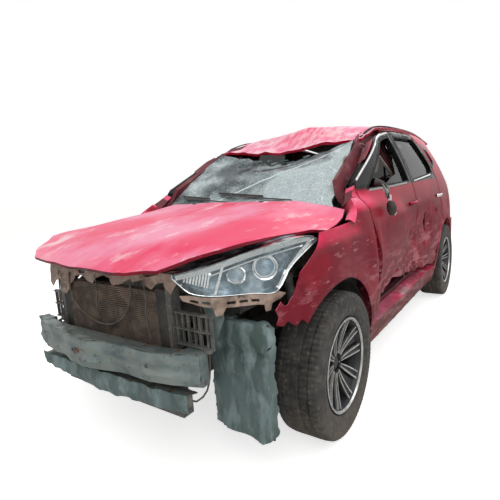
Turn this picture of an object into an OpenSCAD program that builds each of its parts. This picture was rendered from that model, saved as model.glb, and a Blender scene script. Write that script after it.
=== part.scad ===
// A crashed compact crossover car, built as separate panels, glass, running
// gear and cabin pieces. +X is the car's left, +Y its rear and +Z up.
// The origin is on the ground, midway between the axles on the centre line.

/* [Overall] */
// Distance between the axles
wheelbase = 2590; // [2450:10:2750]
// Length from the bonnet's nose to the rear bumper
body_l = 4200; // [4050:10:4450]
// Width over the shoulders of the doors
body_w = 1740; // [1640:10:1860]
// Height of the undamaged roof crown above the ground
roof_h = 1620; // [1560:5:1720]
// Height of the window sill where it meets the windscreen
belt_z = 1110; // [1060:5:1150]
// Height of the bonnet's leading edge
nose_z = 935; // [900:5:980]
// Height of the sill's lower edge
sill_z = 230; // [200:5:260]

/* [Wheels] */
// Outer diameter of a tyre
tyre_d = 688; // [640:4:720]
// Width of a tyre
tyre_w = 215; // [185:5:235]
// Outer diameter of a rim's lip
rim_d = 452; // [400:4:470]
// Distance between the middles of the tyres on one axle
track = 1556; // [1480:4:1620]
// Gap between a tyre and its wheel arch, above the wheel
arch_gap = 66; // [60:2:90]
// Number of spoke pairs in a rim
spokes = 5; // [4:1:7]

/* [Panels] */
// Thickness of a whole door below its window
door_t = 76; // [60:2:90]
// Thickness of the window frames and the pillars
frame_t = 45; // [35:5:60]
// Thickness of the wings, the bonnet and the roof
skin_t = 16; // [12:1:24]
// Thickness of the glass
glass_t = 6; // [4:1:10]
// Shut gap round the doors, the bonnet and the tailgate
shut = 11; // [10:0.5:14]

/* [Front end] */
// Height of the crash beam's face
beam_h = 130; // [100:5:160]
// Height of the crash beam's middle above the ground
beam_z = 525; // [490:5:560]
// Width of the crash beam
beam_w = 1130; // [1000:10:1200]
// Width of the radiator's core
radiator_w = 700; // [600:10:760]
// Radius of the towing eye's socket
tow_r = 9; // [7:0.5:12]

/* [Damage] */
// How far the roof's front edge is pushed down
roof_crush = 95; // [0:5:120]
// How far the left-hand doors are pushed in
door_dent = 55; // [0:5:70]
// How far the bonnet's right front corner is pushed back
nose_push = 110; // [0:5:140]
// How far the crash beam's face is creased
beam_dent = 26; // [0:2:34]

/* [Hidden] */
$fn = 48;

paint = "crimson";
seat_gap = 0.3;        // between a piece and what carries it
half_w = body_w / 2;
nose_y = -body_l / 2;
tail_y = body_l / 2;
front_y = -wheelbase / 2;
rear_y = wheelbase / 2;
wheel_z = tyre_d / 2;
arch_r = wheel_z + arch_gap;
hub_x = track / 2;
cowl_y = front_y + 375;      // rear edge of the bonnet
header_y = cowl_y + 670;     // front edge of the roof
door_y = cowl_y + 120;       // front edge of the front doors
pillar_y = door_y + 1020;    // where the two doors of a side meet
door_end = rear_y - 165;     // rear edge of the rear doors
gate_y = tail_y - 265;       // rear edge of the roof
rail_z = roof_h - 62;        // top of the door frames
rail_x = half_w - 270;       // edge of the roof panel
flange = 45;                 // how far the doorway's flange reaches behind a door
behind = 12;                 // gap between a door's inner face and the flange
door_z = sill_z + 140;       // lower edge of the doors
hinge_in = 30;               // hinge axis, back from the door's front edge
hinge_r = 5;
a_foot = cowl_y + 40;         // foot of the windscreen pillar
wing_front = nose_y + 345;    // torn front edge of the wings
rail_out = half_w - 150;      // outer face of the engine bay's upper rails
bonnet_pivot = [cowl_y - 14, nose_z + 104];
floor_x = half_w - door_t - 132;   // half width of the floor
dash_x = floor_x - 2;              // half width of the bulkhead
rail_in = radiator_w / 2 + 45;     // inner face of the main rails
sub_z = wheel_z - 104;             // underside of the front subframe
bonnet_x = half_w - 260;           // middle of a bonnet hinge
ear_x = 407;                       // middle of a tailgate hinge's ear
kick_y = rear_y - 380;        // front of the rise under the rear seat
tunnel_x = 138;
boot_z = 470;                 // top of the boot floor
jack_y = [door_y + 150, door_end - 330];
roof_lined = skin_t + 10;     // thickness of the roof with its lining
gate_top = rail_z - 70;
gate_bottom = 640;
gate_half = half_w - 205;
gate_front = gate_y + 28 - frame_t;   // inner face of the tailgate at its top
gate_pivot = [gate_front + 15, gate_top + 9];
roof_ys = steps(header_y, gate_front - shut, 22);
hinge_heights = [520, 760];
leaf_h = 12;                  // height of a hinge leaf
tow_x = -360;                 // towing eye, right of the middle

// ---- shape of the body ----

// Smooth curve through a table of [place, value] rows
function row_of(x, t, i = 0) = i >= len(t) - 2 || x < t[i + 1][0] ? i : row_of(x, t, i + 1);
function slope_of(t, i) =
  let (a = max(0, i - 1), b = min(len(t) - 1, i + 1)) (t[b][1] - t[a][1]) / (t[b][0] - t[a][0]);
function curve(x, t) =
  let (
    i = row_of(x, t), h = t[i + 1][0] - t[i][0], u = min(1, max(0, (x - t[i][0]) / h)),
    m = slope_of(t, i) * h, n = slope_of(t, i + 1) * h
  )
  (2 * u * u * u - 3 * u * u + 1) * t[i][1] + (u * u * u - 2 * u * u + u) * m
  + (3 * u * u - 2 * u * u * u) * t[i + 1][1] + (u * u * u - u * u) * n;
function ramp(x, a, b) = let (u = min(1, max(0, (x - a) / (b - a)))) u * u * (3 - 2 * u);
function bump(a, b, a0, b0, ra, rb) = exp(-pow((a - a0) / ra, 2) - pow((b - b0) / rb, 2));

// Half width at the shoulder, along the car
plan_t = [
  [nose_y + 300, half_w - 88], [front_y - 200, half_w - 32], [front_y, half_w - 6],
  [cowl_y, half_w - 6], [0, half_w], [rear_y - 100, half_w - 2], [tail_y - 400, half_w - 24],
  [tail_y - 250, half_w - 58], [tail_y - 150, half_w - 108], [tail_y - 90, half_w - 180]
];
// How far the side tucks in, up the car
tuck_t = [
  [sill_z - 30, 72], [sill_z + 70, 42], [sill_z + 220, 12], [650, 0], [850, 4],
  [belt_z - 130, 20], [belt_z, 52], [belt_z + 190, 125], [rail_z - 78, 215],
  [rail_z, 268], [rail_z + 44, 340]
];
function lean(z) = max(0, z - belt_z + 50) * 0.4;
function flare(y, z) =
  let (d = min(norm([y - front_y, z - wheel_z]), norm([y - rear_y, z - wheel_z])))
  16 * exp(-pow((d - arch_r - 15) / 60, 2));
function dent_left(y, z) = door_dent * (
  0.95 * bump(y, z, pillar_y - 60, 640, 330, 190) + 0.55 * bump(y, z, door_y + 330, 520, 260, 120)
  + 0.5 * bump(y, z, pillar_y + 330, 760, 240, 130) - 0.35 * bump(y, z, door_y + 500, 960, 240, 70)
  - 0.4 * bump(y, z, door_y - 40, 700, 70, 200));
function side_x(s, y, z) =
  curve(y + lean(z) * ramp(y, 0, rear_y), plan_t) - curve(z, tuck_t)
  - 58 * (1 - ramp(y, cowl_y, cowl_y + 700)) * ramp(z, belt_z - 90, belt_z + 20)
  + flare(y, z) - (s > 0 ? dent_left(y, z) : 0);

// Height of the bonnet: its crown, the fall to its sides and two creases
bonnet_t = [
  [nose_y - 30, nose_z - 16], [nose_y + 60, nose_z + 14], [nose_y + 250, nose_z + 62],
  [front_y - 250, nose_z + 105], [front_y + 100, nose_z + 143], [cowl_y, nose_z + 172]
];
function bonnet_z(x, y) =
  curve(y, bonnet_t) - 105 * pow(abs(x) / half_w, 3.2) * ramp(y, nose_y + 100, front_y)
  + 7 * bump(abs(x), 0, 470, 0, 60, 1) * ramp(y, nose_y + 60, nose_y + 500);

// Height of the roof, with its front edge crushed down
roof_t = [
  [header_y, roof_h - 88], [header_y + 350, roof_h - 22], [header_y + 900, roof_h],
  [rear_y - 50, roof_h - 12], [gate_y, roof_h - 78]
];
function crush(x, y) = roof_crush * (
  bump(x, y, -20, header_y, 470, 190) + 0.45 * bump(x, y, -330, header_y + 260, 180, 130)
  - 0.3 * bump(x, y, 60, header_y + 330, 260, 90));
function roof_z(x, y) = curve(y, roof_t) - 44 * pow(abs(x) / rail_x, 2.4) - crush(x, y);

// Rear face of the tailgate and its window
gate_t = [
  [560, tail_y - 52], [800, tail_y - 42], [belt_z - 40, tail_y - 75], [belt_z + 60, tail_y - 100],
  [rail_z - 30, gate_y + 28]
];
function gate_face(x, z) = curve(z, gate_t) - 95 * pow(abs(x) / half_w, 3);

// ---- building blocks ----

// Builds what it holds as one mesh
module as_mesh() { resize([0, 0, 0]) children(); }

// Closed shell between two grids of points, a outside and b inside
module shell(a, b) {
  n = len(a);
  m = len(a[0]);
  quads = [for (i = [0:n - 2]) for (j = [0:m - 2]) [i * m + j, (i + 1) * m + j, (i + 1) * m + j + 1, i * m + j + 1]];
  rim_ij = concat(
    [for (j = [0:m - 1]) j], [for (i = [1:n - 1]) i * m + m - 1],
    [for (j = [m - 2:-1:0]) (n - 1) * m + j], [for (i = [n - 2:-1:1]) i * m]);
  k = len(rim_ij);
  o = n * m;
  polyhedron(
    points = concat([for (r = a) for (p = r) p], [for (r = b) for (p = r) p]),
    faces = concat(
      [for (q = quads) each [[q[0], q[1], q[2]], [q[0], q[2], q[3]]]],
      [for (q = quads) each [[q[2] + o, q[1] + o, q[0] + o], [q[3] + o, q[2] + o, q[0] + o]]],
      [for (i = [0:k - 1]) let (p = rim_ij[i], q = rim_ij[(i + 1) % k])
        each [[p, q, q + o], [p, q + o, p + o]]]));
}

function steps(a, b, n) = [for (i = [0:n]) a + (b - a) * i / n];
function wall(z, t) = t[0] + (t[1] - t[0]) * ramp(z, belt_z - 40, belt_z + 30);

// Part of the body side between two places and two heights. Its outer and
// inner depths below the skin are each given below and above the belt.
module side_blank(s, y0, y1, z0, z1, ny, nz, outer, inner) {
  ys = steps(y0, y1, ny);
  zs = steps(z0, z1, nz);
  a = [for (y = ys) [for (z = zs) [s * (side_x(s, y, z) - wall(z, outer)), y, z]]];
  b = [for (y = ys) [for (z = zs) [s * (side_x(s, y, z) - wall(z, inner)), y, z]]];
  if (s > 0) shell(b, a); else shell(a, b);
}

// Outline in the side view, cut right through the side s
module through_side(s, points) {
  translate([s > 0 ? 150 : -half_w - 150, 0, 0]) rotate([90, 0, 90])
    linear_extrude(half_w) polygon(points);
}
module through_top(points, z0 = 500, z1 = 1800) {
  translate([0, 0, z0]) linear_extrude(z1 - z0) polygon(points);
}
function arc(cy, cz, r, a0, a1, n) = [for (a = steps(a0, a1, n)) [cy + r * cos(a), cz + r * sin(a)]];

// Solid bar with flat ends from one point to another
module bar(p, q, r) {
  d = q - p;
  translate(p) rotate([0, acos(d[2] / norm(d)), atan2(d[1], d[0])]) cylinder(r = r, h = norm(d));
}
module block(x0, x1, y0, y1, z0, z1) { translate([x0, y0, z0]) cube([x1 - x0, y1 - y0, z1 - z0]); }
module both_sides() { children(); mirror([1, 0, 0]) children(); }

// ---- outlines in the side view ----

function eave(y) = curve(y, roof_t) - 44;          // height of the roof's edge
function head(y, down) = [y, eave(y) - 40 - down];  // along the top of the doors
front_door = concat(
  [[door_y, door_z], [pillar_y - shut / 2, door_z]],
  [for (y = steps(pillar_y - shut / 2, header_y + 70, 3)) head(y, 0)],
  [[a_foot + 120, belt_z + 70], [door_y, belt_z - 20]]);
rear_door = concat(
  [[pillar_y + shut / 2, door_z]],
  arc(rear_y, wheel_z, arch_r + 55, 176, 113, 6),
  [[door_end, belt_z - 90], [door_end + 25, belt_z + 130], [door_end - 60, rail_z - 120]],
  [for (y = steps(door_end - 190, pillar_y + shut / 2, 3)) head(y, 0)]);
front_window = concat(
  [[door_y + 165, belt_z + 28], [pillar_y - 70, belt_z + 42]],
  [for (y = steps(pillar_y - 70, header_y + 130, 2)) head(y, 45)]);
rear_window = concat(
  [[pillar_y + 62, belt_z + 46], [door_end - 95, belt_z + 86], [door_end - 45, belt_z + 140]],
  [for (y = steps(door_end - 205, pillar_y + 62, 2)) head(y, 45)]);
quarter_window = [
  [door_end + 95, belt_z + 140], [door_end + 230, belt_z + 190], [door_end + 180, belt_z + 290],
  [door_end + 50, belt_z + 310]];
wing_outline = concat(
  [[front_y - arch_r * 0.86, wheel_z + arch_r * 0.5]],
  arc(front_y, wheel_z, arch_r, 145, 4, 14),
  [[door_y - shut - 20, 340], [door_y - shut, 480], [door_y - shut, belt_z - 12], [cowl_y + 12, belt_z - 12],
   [cowl_y - 120, belt_z - 122], [front_y - 90, belt_z - 128], [front_y - 130, belt_z - 160],
   [front_y - 300, belt_z - 260], [front_y - 345, belt_z - 340], [wing_front, belt_z - 400], [wing_front, belt_z - 440]]);
lamp_outline = [
  [tail_y - 290, 900], [tail_y - 92, 840], [tail_y - 92, belt_z - 70], [tail_y - 250, belt_z - 80]];
module grown(points, by) { offset(delta = by) polygon(points); }
module through_side_grown(s, points, by) {
  translate([s > 0 ? 150 : -half_w - 150, 0, 0]) rotate([90, 0, 90]) linear_extrude(half_w) grown(points, by);
}

// ---- body ----

module side_frame(s) {
  color(paint) as_mesh() union() {
    difference() {
      intersection() {
        side_blank(s, cowl_y - 40, tail_y - 90, sill_z - 5, rail_z + 34, 26, 14, [0, 0], [door_t + 66, frame_t + 46]);
        through_side(s, concat(
          [[door_y - 60, sill_z]],
          arc(rear_y, wheel_z, arch_r, 196, -8, 14),
          [[tail_y - 330, 345], [tail_y - 330, 700], [tail_y - 100, 715], [tail_y - 92, belt_z - 60],
           [tail_y - 150, belt_z + 90], [gate_y + 8, rail_z - 90]],
          [for (i = [22:-1:0]) let (y = roof_ys[i]) [y, roof_z(s * rail_x, y) - roof_lined - seat_gap]],
          [[header_y - 90, roof_z(s * rail_x, header_y) - 60], [cowl_y + 34, belt_z - 9], [door_y - 60, belt_z - 9]]));
      }
      // Pockets for the doors, and the smaller doorways through their flanges
      for (d = [front_door, rear_door]) {
        intersection() {
          side_blank(s, door_y - 90, door_end + 90, sill_z + 20, rail_z + 30, 20, 15,
            [-60, -60], [door_t + behind, frame_t + behind]);
          through_side_grown(s, d, shut);
        }
        through_side_grown(s, d, -flange);
      }
      behind_wing(s);
      through_side(s, quarter_window);
      through_side_grown(s, lamp_outline, seat_gap);
      through_rear(gate_outline(shut));
    }
    // Flanges to the floor and the bulkhead
    block(min(s * floor_x, s * (floor_x + 50)), max(s * floor_x, s * (floor_x + 50)), door_y, kick_y, sill_z + 12, sill_z + 60);
    block(min(s * dash_x, s * (dash_x + 50)), max(s * dash_x, s * (dash_x + 50)), cowl_y + 62, cowl_y + 95, 330, belt_z - 180);
    // Jacking pads under the sill
    for (y = jack_y)
      block(min(s * (half_w - 180), s * (half_w - 120)), max(s * (half_w - 180), s * (half_w - 120)), y - 45, y + 45, sill_z - 30, sill_z + 25);
    // Hinge leaves of the front and the rear door
    for (h = hinge_heights) {
      leaf(s, door_y, h, 60, 50);
      leaf(s, pillar_y + shut / 2, h, door_t + behind + 14, 4);
    }
  }
  // Their knuckles
  color(paint) for (h = hinge_heights, y = [door_y, pillar_y + shut / 2])
    translate([s * hinge_x(s, y, h), y + hinge_in, h]) cylinder(r = hinge_r, h = leaf_h);
}

// Cuts the front pillar's foot back to lie under the wing's rear edge
module behind_wing(s) {
  zs = steps(sill_z - 20, belt_z - 9, 9);
  translate([0, door_y - shut + seat_gap, 0]) rotate([90, 0, 0]) linear_extrude(60) polygon(concat(
    [for (z = zs) [s * (side_x(s, door_y - 40, z) - skin_t - 7), z]],
    [[s * (half_w + 90), belt_z - 9], [s * (half_w + 90), sill_z - 20]]));
}

// Hinge axis of a working door, or a crushed hinge of the left-hand ones
function hinge_x(s, y, h) = s > 0 ? side_x(1, y + hinge_in, h) - 30
  : max([for (k = hinge_heights) side_x(-1, y + hinge_in, k + leaf_h / 2)]) - 10;
module leaf(s, y, h, reach, front) {
  x = hinge_x(s, y, h) - hinge_r - seat_gap;
  block(min(s * x, s * (x - reach)), max(s * x, s * (x - reach)), y - 4, y + hinge_in + 3, h, h + leaf_h);
  block(min(s * (x - 16), s * (x - reach)), max(s * (x - 16), s * (x - reach)), y - front, y, h, h + leaf_h);
}
// What a door loses and gains at its hinges
module leaf_space(s, y) {
  for (h = hinge_heights) let (x = hinge_x(s, y, h))
    block(min(s * (x - 130), s * (x + 60)), max(s * (x - 130), s * (x + 60)), y - 60, y + hinge_in + 18, h - 8, h + leaf_h + 10);
}
module door_pin(s, y) {
  for (h = hinge_heights)
    translate([s * hinge_x(s, y, h), y + hinge_in, h + leaf_h + seat_gap]) cylinder(r = hinge_r, h = 24);
}

module door(s, outline, window, y) {
  ends = [min([for (p = outline) p[0]]), max([for (p = outline) p[0]])];
  as_mesh() union() {
    difference() {
      intersection() {
        side_blank(s, ends[0] - 5, ends[1] + 5, door_z - 5, rail_z + 5, 14, 14, [0, 0], [door_t, frame_t]);
        through_side(s, outline);
      }
      through_side(s, window);
      leaf_space(s, y);
    }
    door_pin(s, y);
  }
}

module pane(s, window, y0, y1, lap) {
  as_mesh() intersection() {
    side_blank(s, y0, y1, belt_z - 10, rail_z, 6, 5, [frame_t / 2, frame_t / 2], [frame_t / 2 + glass_t, frame_t / 2 + glass_t]);
    through_side_grown(s, window, lap);
  }
}

module wing(s) {
  color(paint) as_mesh() union() {
    intersection() {
      side_blank(s, s > 0 ? wing_front : wing_front + 95, door_y - shut, 330, belt_z - 2, 16, 12, [0, 0], [skin_t, skin_t]);
      through_side(s, wing_outline);
    }
    // Bolting tabs down to the upper rails
    for (y = [front_y - 60, cowl_y - 60])
      block(min(s * (rail_out + seat_gap), s * (half_w - 24)), max(s * (rail_out + seat_gap), s * (half_w - 24)), y, y + 50, 880, 896);
  }
}

module engine_bay() {
  color("firebrick") {
    // Bulkhead, with the scuttle that the windscreen stands on
    difference() {
      union() {
        block(-dash_x + seat_gap, dash_x - seat_gap, cowl_y + 60, cowl_y + 95, sill_z + 40, belt_z - 60);
        block(-dash_x + 40, dash_x - 40, cowl_y + 10, cowl_y + 95, belt_z - 90, belt_z - 60);
      }
      translate([330, cowl_y + 50, 700]) rotate([-90, 0, 0]) cylinder(r = 45, h = 60);
    }
    both_sides() {
      // Main rail, upper rail, strut tower and the crash can at the nose
      block(rail_in, rail_in + 75, nose_y + 230, cowl_y + 60, 440, 560);
      block(rail_out - 80, rail_out - 20, front_y - 100, cowl_y + 62, 820, 895);
      block(rail_out - 21, rail_out, front_y - 100, cowl_y + 40, 820, 895);
      difference() {
        block(rail_in + 25, rail_out - 50, front_y - 130, front_y + 130, 800, 950);
        translate([king_top[0], front_y, 780]) cylinder(r = 85, h = 141.3);
      }
      block(rail_in + 25, rail_in + 50, front_y - 130, front_y + 130, 540, 800);
      block(rail_in + 5, rail_in + 70, nose_y + 135, nose_y + 230, 460, 555);
    }
    // Brackets beside the bonnet's hinge knuckles
    both_sides() translate([bonnet_x + 18 + seat_gap, 0, 0]) {
      translate([0, bonnet_pivot[0], bonnet_pivot[1]]) rotate([0, 90, 0]) cylinder(r = 6, h = 14);
      block(0, 14, bonnet_pivot[0] - 6, cowl_y + 20, bonnet_pivot[1] - 14, bonnet_pivot[1] - 3);
      block(-40, 14, cowl_y + 2, cowl_y + 20, bonnet_pivot[1] - 30, bonnet_pivot[1] - 10);
    }
  }
}

module bonnet() {
  xs = steps(-half_w - 3, half_w + 3, 13);
  ys = steps(nose_y - 20, cowl_y + 5, 11);
  edge = [
    [half_w - 362, nose_y + 34], [half_w - 300, nose_y + 135], [half_w - 222, nose_y + 220], [half_w - 175, nose_y + 370],
    [half_w - 136, nose_y + 580], [half_w - 112, nose_y + 725], [half_w - 62, front_y - 15], [half_w - 66, front_y + 100],
    [half_w - 84, front_y + 220], [half_w - 128, cowl_y - 16]];
  push = nose_push;
  color(paint) as_mesh() union() {
    intersection() {
      shell(
        [for (x = xs) [for (y = ys) [x, y, bonnet_z(x, y) - skin_t]]],
        [for (x = xs) [for (y = ys) [x, y, bonnet_z(x, y)]]]);
      through_top(concat(
        edge, [for (i = [len(edge) - 1:-1:0]) [-edge[i][0], edge[i][1] + push * (1 - ramp(edge[i][1], nose_y, front_y))]],
        [[-330, nose_y + 0.55 * push], [0, nose_y + 12], [330, nose_y + 2]]), 700, 1300);
      // Rear edge, bowed to follow the windscreen's foot
      through_top(concat([[-half_w - 50, nose_y - 50], [half_w + 50, nose_y - 50], [half_w + 50, cowl_y - 16]],
        [for (x = steps(600, -600, 6)) [x, cowl_y - 16 - 30 * (1 - pow(x / 600, 2))]], [[-half_w - 50, cowl_y - 16]]), 650, 1350);
    }
    for (s = [-1, 1]) translate([s * bonnet_x - 18, bonnet_pivot[0], bonnet_pivot[1]]) rotate([0, 90, 0]) cylinder(r = 9, h = 36);
    for (s = [-1, 1]) block(s * bonnet_x - 14, s * bonnet_x + 14, bonnet_pivot[0] - 60, bonnet_pivot[0] + 3, bonnet_pivot[1] - 2, bonnet_pivot[1] + 16);
  }
}

module roof_panel() {
  xs = steps(-rail_x, rail_x, 20);
  color(paint) as_mesh() union() {
    shell(
      [for (x = xs) [for (y = roof_ys) [x, y, roof_z(x, y) - roof_lined]]],
      [for (x = xs) [for (y = roof_ys) [x, y, roof_z(x, y)]]]);
    // Rear header
    block(-470, 470, gate_front - shut - 42, gate_front - shut - 22, gate_top - 10, eave(gate_y) - 4);
  }
  // Ears on the header, which carry the tailgate
  color(paint) both_sides() translate([ear_x - 7 + seat_gap, 0, 0]) {
    translate([0, gate_pivot[0], gate_pivot[1]]) rotate([0, 90, 0]) cylinder(r = 7, h = 14 - seat_gap);
    block(0, 14 - seat_gap, gate_front - shut - 22 + seat_gap, gate_pivot[0], gate_pivot[1] - 2, gate_pivot[1] + 5);
    block(0, 14 - seat_gap, gate_front - shut - 22 + seat_gap, gate_front - shut - 7, gate_top - 10, gate_pivot[1] + 5);
  }
}

function gate_outline(grow) = [
  [-gate_half + 15 - grow, gate_bottom - grow], [gate_half - 15 + grow, gate_bottom - grow],
  [gate_half + grow, belt_z - 40], [gate_half - 130 + grow, gate_top + grow], [-gate_half + 130 - grow, gate_top + grow],
  [-gate_half - grow, belt_z - 40]];
gate_window = [
  [-gate_half + 95, belt_z + 55], [gate_half - 95, belt_z + 55], [gate_half - 175, gate_top - 55], [-gate_half + 175, gate_top - 55]];
module through_rear(points) {
  translate([0, tail_y + 100, 0]) rotate([90, 0, 0]) linear_extrude(600) polygon(points);
}
module gate_blank(t0, t1) {
  xs = steps(-gate_half - 10, gate_half + 10, 16);
  zs = steps(gate_bottom - 5, gate_top + 5, 14);
  shell(
    [for (x = xs) [for (z = zs) [x, gate_face(x, z) - t0, z]]],
    [for (x = xs) [for (z = zs) [x, gate_face(x, z) - t1, z]]]);
}
module tailgate() {
  color(paint) as_mesh() union() {
    difference() {
      intersection() {
        gate_blank(0, frame_t);
        through_rear(gate_outline(0));
      }
      through_rear(gate_window);
    }
    for (s = [-1, 1]) {
      translate([s * (ear_x - 27) - 20, gate_pivot[0], gate_pivot[1]]) rotate([0, 90, 0]) cylinder(r = 8, h = 40);
      block(s * (ear_x - 27) - 16, s * (ear_x - 27) + 16, gate_pivot[0] - 5, gate_pivot[0] + 6, gate_top - 20, gate_pivot[1] + 1);
    }
  }
}
module tailgate_glass() {
  color([0.15, 0.2, 0.2]) as_mesh() intersection() {
    gate_blank(frame_t / 2, frame_t / 2 + glass_t);
    translate([0, tail_y + 100, 0]) rotate([90, 0, 0]) linear_extrude(600) grown(gate_window, -0.5);
  }
}

module floor_pan() {
  color("dimgray") difference() {
    union() {
      block(-floor_x + seat_gap, floor_x - seat_gap, cowl_y + 95, kick_y, sill_z + 20, sill_z + 50);
      block(-tunnel_x, tunnel_x, cowl_y + 95, kick_y, sill_z + 50, sill_z + 150);
      block(-floor_x + 110, floor_x - 110, kick_y - 30, kick_y, sill_z + 20, boot_z);
      block(-470, 470, kick_y - 30, tail_y - 130, boot_z - 30, boot_z);
      block(-470, 470, tail_y - 160, tail_y - 130, boot_z, 620);
      // Rear side members
      both_sides() block(430, 500, kick_y, tail_y - 130, boot_z - 110, boot_z - 30);
    }
    block(-70, 70, cowl_y + 90, kick_y + 5, sill_z + 10, sill_z + 120);
  }
}

// Rear bumper: its reach at each height, its plan round the corners and its upper edge
bumper_t = [[300, 70], [350, 22], [430, 4], [520, 0], [600, 6], [710, 34]];
function bumper_at(a, z, off) =
  let (d = curve(z, bumper_t) * ramp(sin(a), 0, 0.9) + off)
  [sign(cos(a)) * (half_w - 40 - off - 0.3 * (d - off)) * pow(abs(cos(a)), 0.3), tail_y - 328 + (328 - d) * pow(sin(a), 0.42)];
function bumper_top(x) = gate_bottom - 12 + 64 * ramp(abs(x), gate_half + 8, gate_half + 40);
module rear_bumper() {
  as = steps(0, 180, 30);
  ts = steps(0, 1, 6);
  function grid(off) = [for (a = as) [for (t = ts)
    let (x = bumper_at(a, 500, 0)[0], z = 300 + t * (bumper_top(x) - 300), p = bumper_at(a, z, off)) [p[0], p[1], z]]];
  color([0.09, 0.09, 0.1]) as_mesh() union() {
    shell(grid(26), grid(0));
    // Brackets to the boot's rear wall
    for (x = [-360, 300]) block(x, x + 60, tail_y - 130 + seat_gap, tail_y - 15, 500, 560);
  }
}

// ---- front end ----

function beam_y(x) = nose_y + 62 + 95 * pow(abs(x) / (beam_w / 2), 2.2)
  + beam_dent * (bump(x, 0, 180, 0, 110, 1) + 0.6 * bump(x, 0, -250, 0, 60, 1) - 0.4 * bump(x, 0, -60, 0, 70, 1));
module bumper_beam() {
  xs = steps(-beam_w / 2, beam_w / 2, 22);
  color("slategray") difference() {
    translate([0, 0, beam_z - beam_h / 2]) linear_extrude(beam_h) polygon(concat(
      [for (x = xs) [x, beam_y(x)]],
      [[beam_w / 2, nose_y + 195 - seat_gap], [rail_in + 5, nose_y + 195 - seat_gap], [rail_in + 5, nose_y + 135 - seat_gap],
       [rail_in - 65, nose_y + 120 + beam_dent], [65 - rail_in, nose_y + 120 + beam_dent], [-rail_in - 5, nose_y + 135 - seat_gap],
       [-rail_in - 5, nose_y + 195 - seat_gap], [-beam_w / 2, nose_y + 195 - seat_gap]]));
    both_sides() block(rail_in + 5 - seat_gap, rail_in + 70 + seat_gap, nose_y + 135 - seat_gap, nose_y + 400, 400, 700);
    translate([tow_x, nose_y, beam_z]) rotate([-90, 0, 0]) cylinder(r = tow_r, h = 400);
  }
}

module front_carrier() {
  core = radiator_w / 2;
  color([0.35, 0.33, 0.3]) {
    // Upper tie bar, lower member and the two uprights
    block(-core - 45, core + 45, nose_y + 190, nose_y + 250, 845, 885);
    block(-core - 60, core + 60, nose_y + 190, nose_y + 250, 270, 320);
    both_sides() block(core + 15, core + 45, nose_y + 195, nose_y + 245, 320, 850);
    // Ribbed lamp panels, the right one broken short
    for (z = [590, 655, 720], x = [[core + 40, core + 240], [-core - 122, -core - 40]])
      block(x[0], x[1], nose_y + 205, nose_y + 215, z, z + 12);
    for (x = [-core - 122, core + 110, core + 170, core + 228]) block(x, x + 12, nose_y + 205, nose_y + 215, 590, 732);
    // Lower stiffener in front
    block(-core - 130, core + 150, nose_y + 120, nose_y + 160, 370, 420);
    both_sides() block(core + 15, core + 45, nose_y + 160, nose_y + 195, 372, 412);
  }
}

module radiator() {
  core = radiator_w / 2;
  color([0.2, 0.18, 0.17]) {
    block(-core + seat_gap, core - seat_gap, nose_y + 200, nose_y + 235, 350, 800);
    both_sides() block(core - 40, core + 15 - seat_gap, nose_y + 196, nose_y + 240, 340, 810);
    both_sides() block(core - 30, core - 10, nose_y + 210, nose_y + 230, 320 + seat_gap, 340);
  }
}

module engine() {
  color("gray") {
    block(65 - rail_in, rail_in - 115, front_y - 330, front_y + 120, wheel_z - 14, 860);
    block(rail_in - 115, rail_in - 10, front_y - 250, front_y + 60, wheel_z - 14, 640);
    both_sides() block(rail_in - 65, rail_in - seat_gap, front_y - 190, front_y - 120, 470, 530);
    block(65 - rail_in, 85 - rail_in, front_y - 60, front_y, sub_z + 60 + seat_gap, wheel_z - 14);
    // Stub shafts towards the hubs
    both_sides() translate([rail_in - 95, front_y, wheel_z]) rotate([0, 90, 0]) cylinder(r = 15, h = hub_x - 70 - rail_in);
  }
}

// A lamp's path round the corner and its upper and lower edge, by the distance along it
lamp_x = [[0, half_w - 400], [150, half_w - 272], [320, half_w - 152], [470, half_w - 82], [630, half_w - 57], [730, half_w - 62]];
lamp_y = [[0, nose_y + 125], [150, nose_y + 195], [320, nose_y + 315], [470, nose_y + 445], [630, nose_y + 600], [730, nose_y + 700]];
lamp_top = [[0, nose_z - 36], [150, nose_z - 8], [320, nose_z + 34], [470, nose_z + 52], [630, nose_z + 53], [730, nose_z + 27]];
lamp_low = [[0, nose_z - 52], [80, nose_z - 118], [320, nose_z - 138], [425, nose_z - 144], [500, nose_z - 66], [630, nose_z - 10], [730, nose_z + 12]];
function lamp_point(t, u, depth) =
  let (x = curve(t, lamp_x), y = curve(t, lamp_y), d = [curve(t + 5, lamp_x) - curve(t - 5, lamp_x), curve(t + 5, lamp_y) - curve(t - 5, lamp_y)],
    e = d / norm(d), q = [x - e[1] * depth, y + e[0] * depth],
    top = min(curve(t, lamp_top), depth > 0 ? bonnet_z(q[0], q[1]) - skin_t - 30 : 2000), low = min(curve(t, lamp_low), top - 8))
  [q[0], q[1], low + u * (top - low)];
// Only the left lamp is left
module headlamp() {
  ts = steps(0, 730, 20);
  us = steps(0, 1, 3);
  color([0.75, 0.82, 0.85]) as_mesh() union() {
    shell(
      [for (t = ts) [for (u = us) lamp_point(t, u, 90 * ramp(t, -80, 120))]],
      [for (t = ts) [for (u = us) lamp_point(t, u, 0)]]);
    // Tab that bolts behind the tie bar
    block(rail_in - 95, half_w - 300, nose_y + 250 + seat_gap, nose_y + 278, 850, 872);
  }
}

module tail_lamps() {
  color([0.5, 0.05, 0.05]) for (s = [-1, 1]) as_mesh() intersection() {
    side_blank(s, tail_y - 300, tail_y - 90, 830, belt_z - 60, 6, 5, [2, 2], [50, 50]);
    through_side(s, lamp_outline);
    block(-half_w, half_w, 0, tail_y - 92, 800, 1200);
    difference() {
      block(-half_w, half_w, 0, tail_y, 800, 1200);
      through_rear(gate_outline(shut));
    }
  }
}

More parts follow.
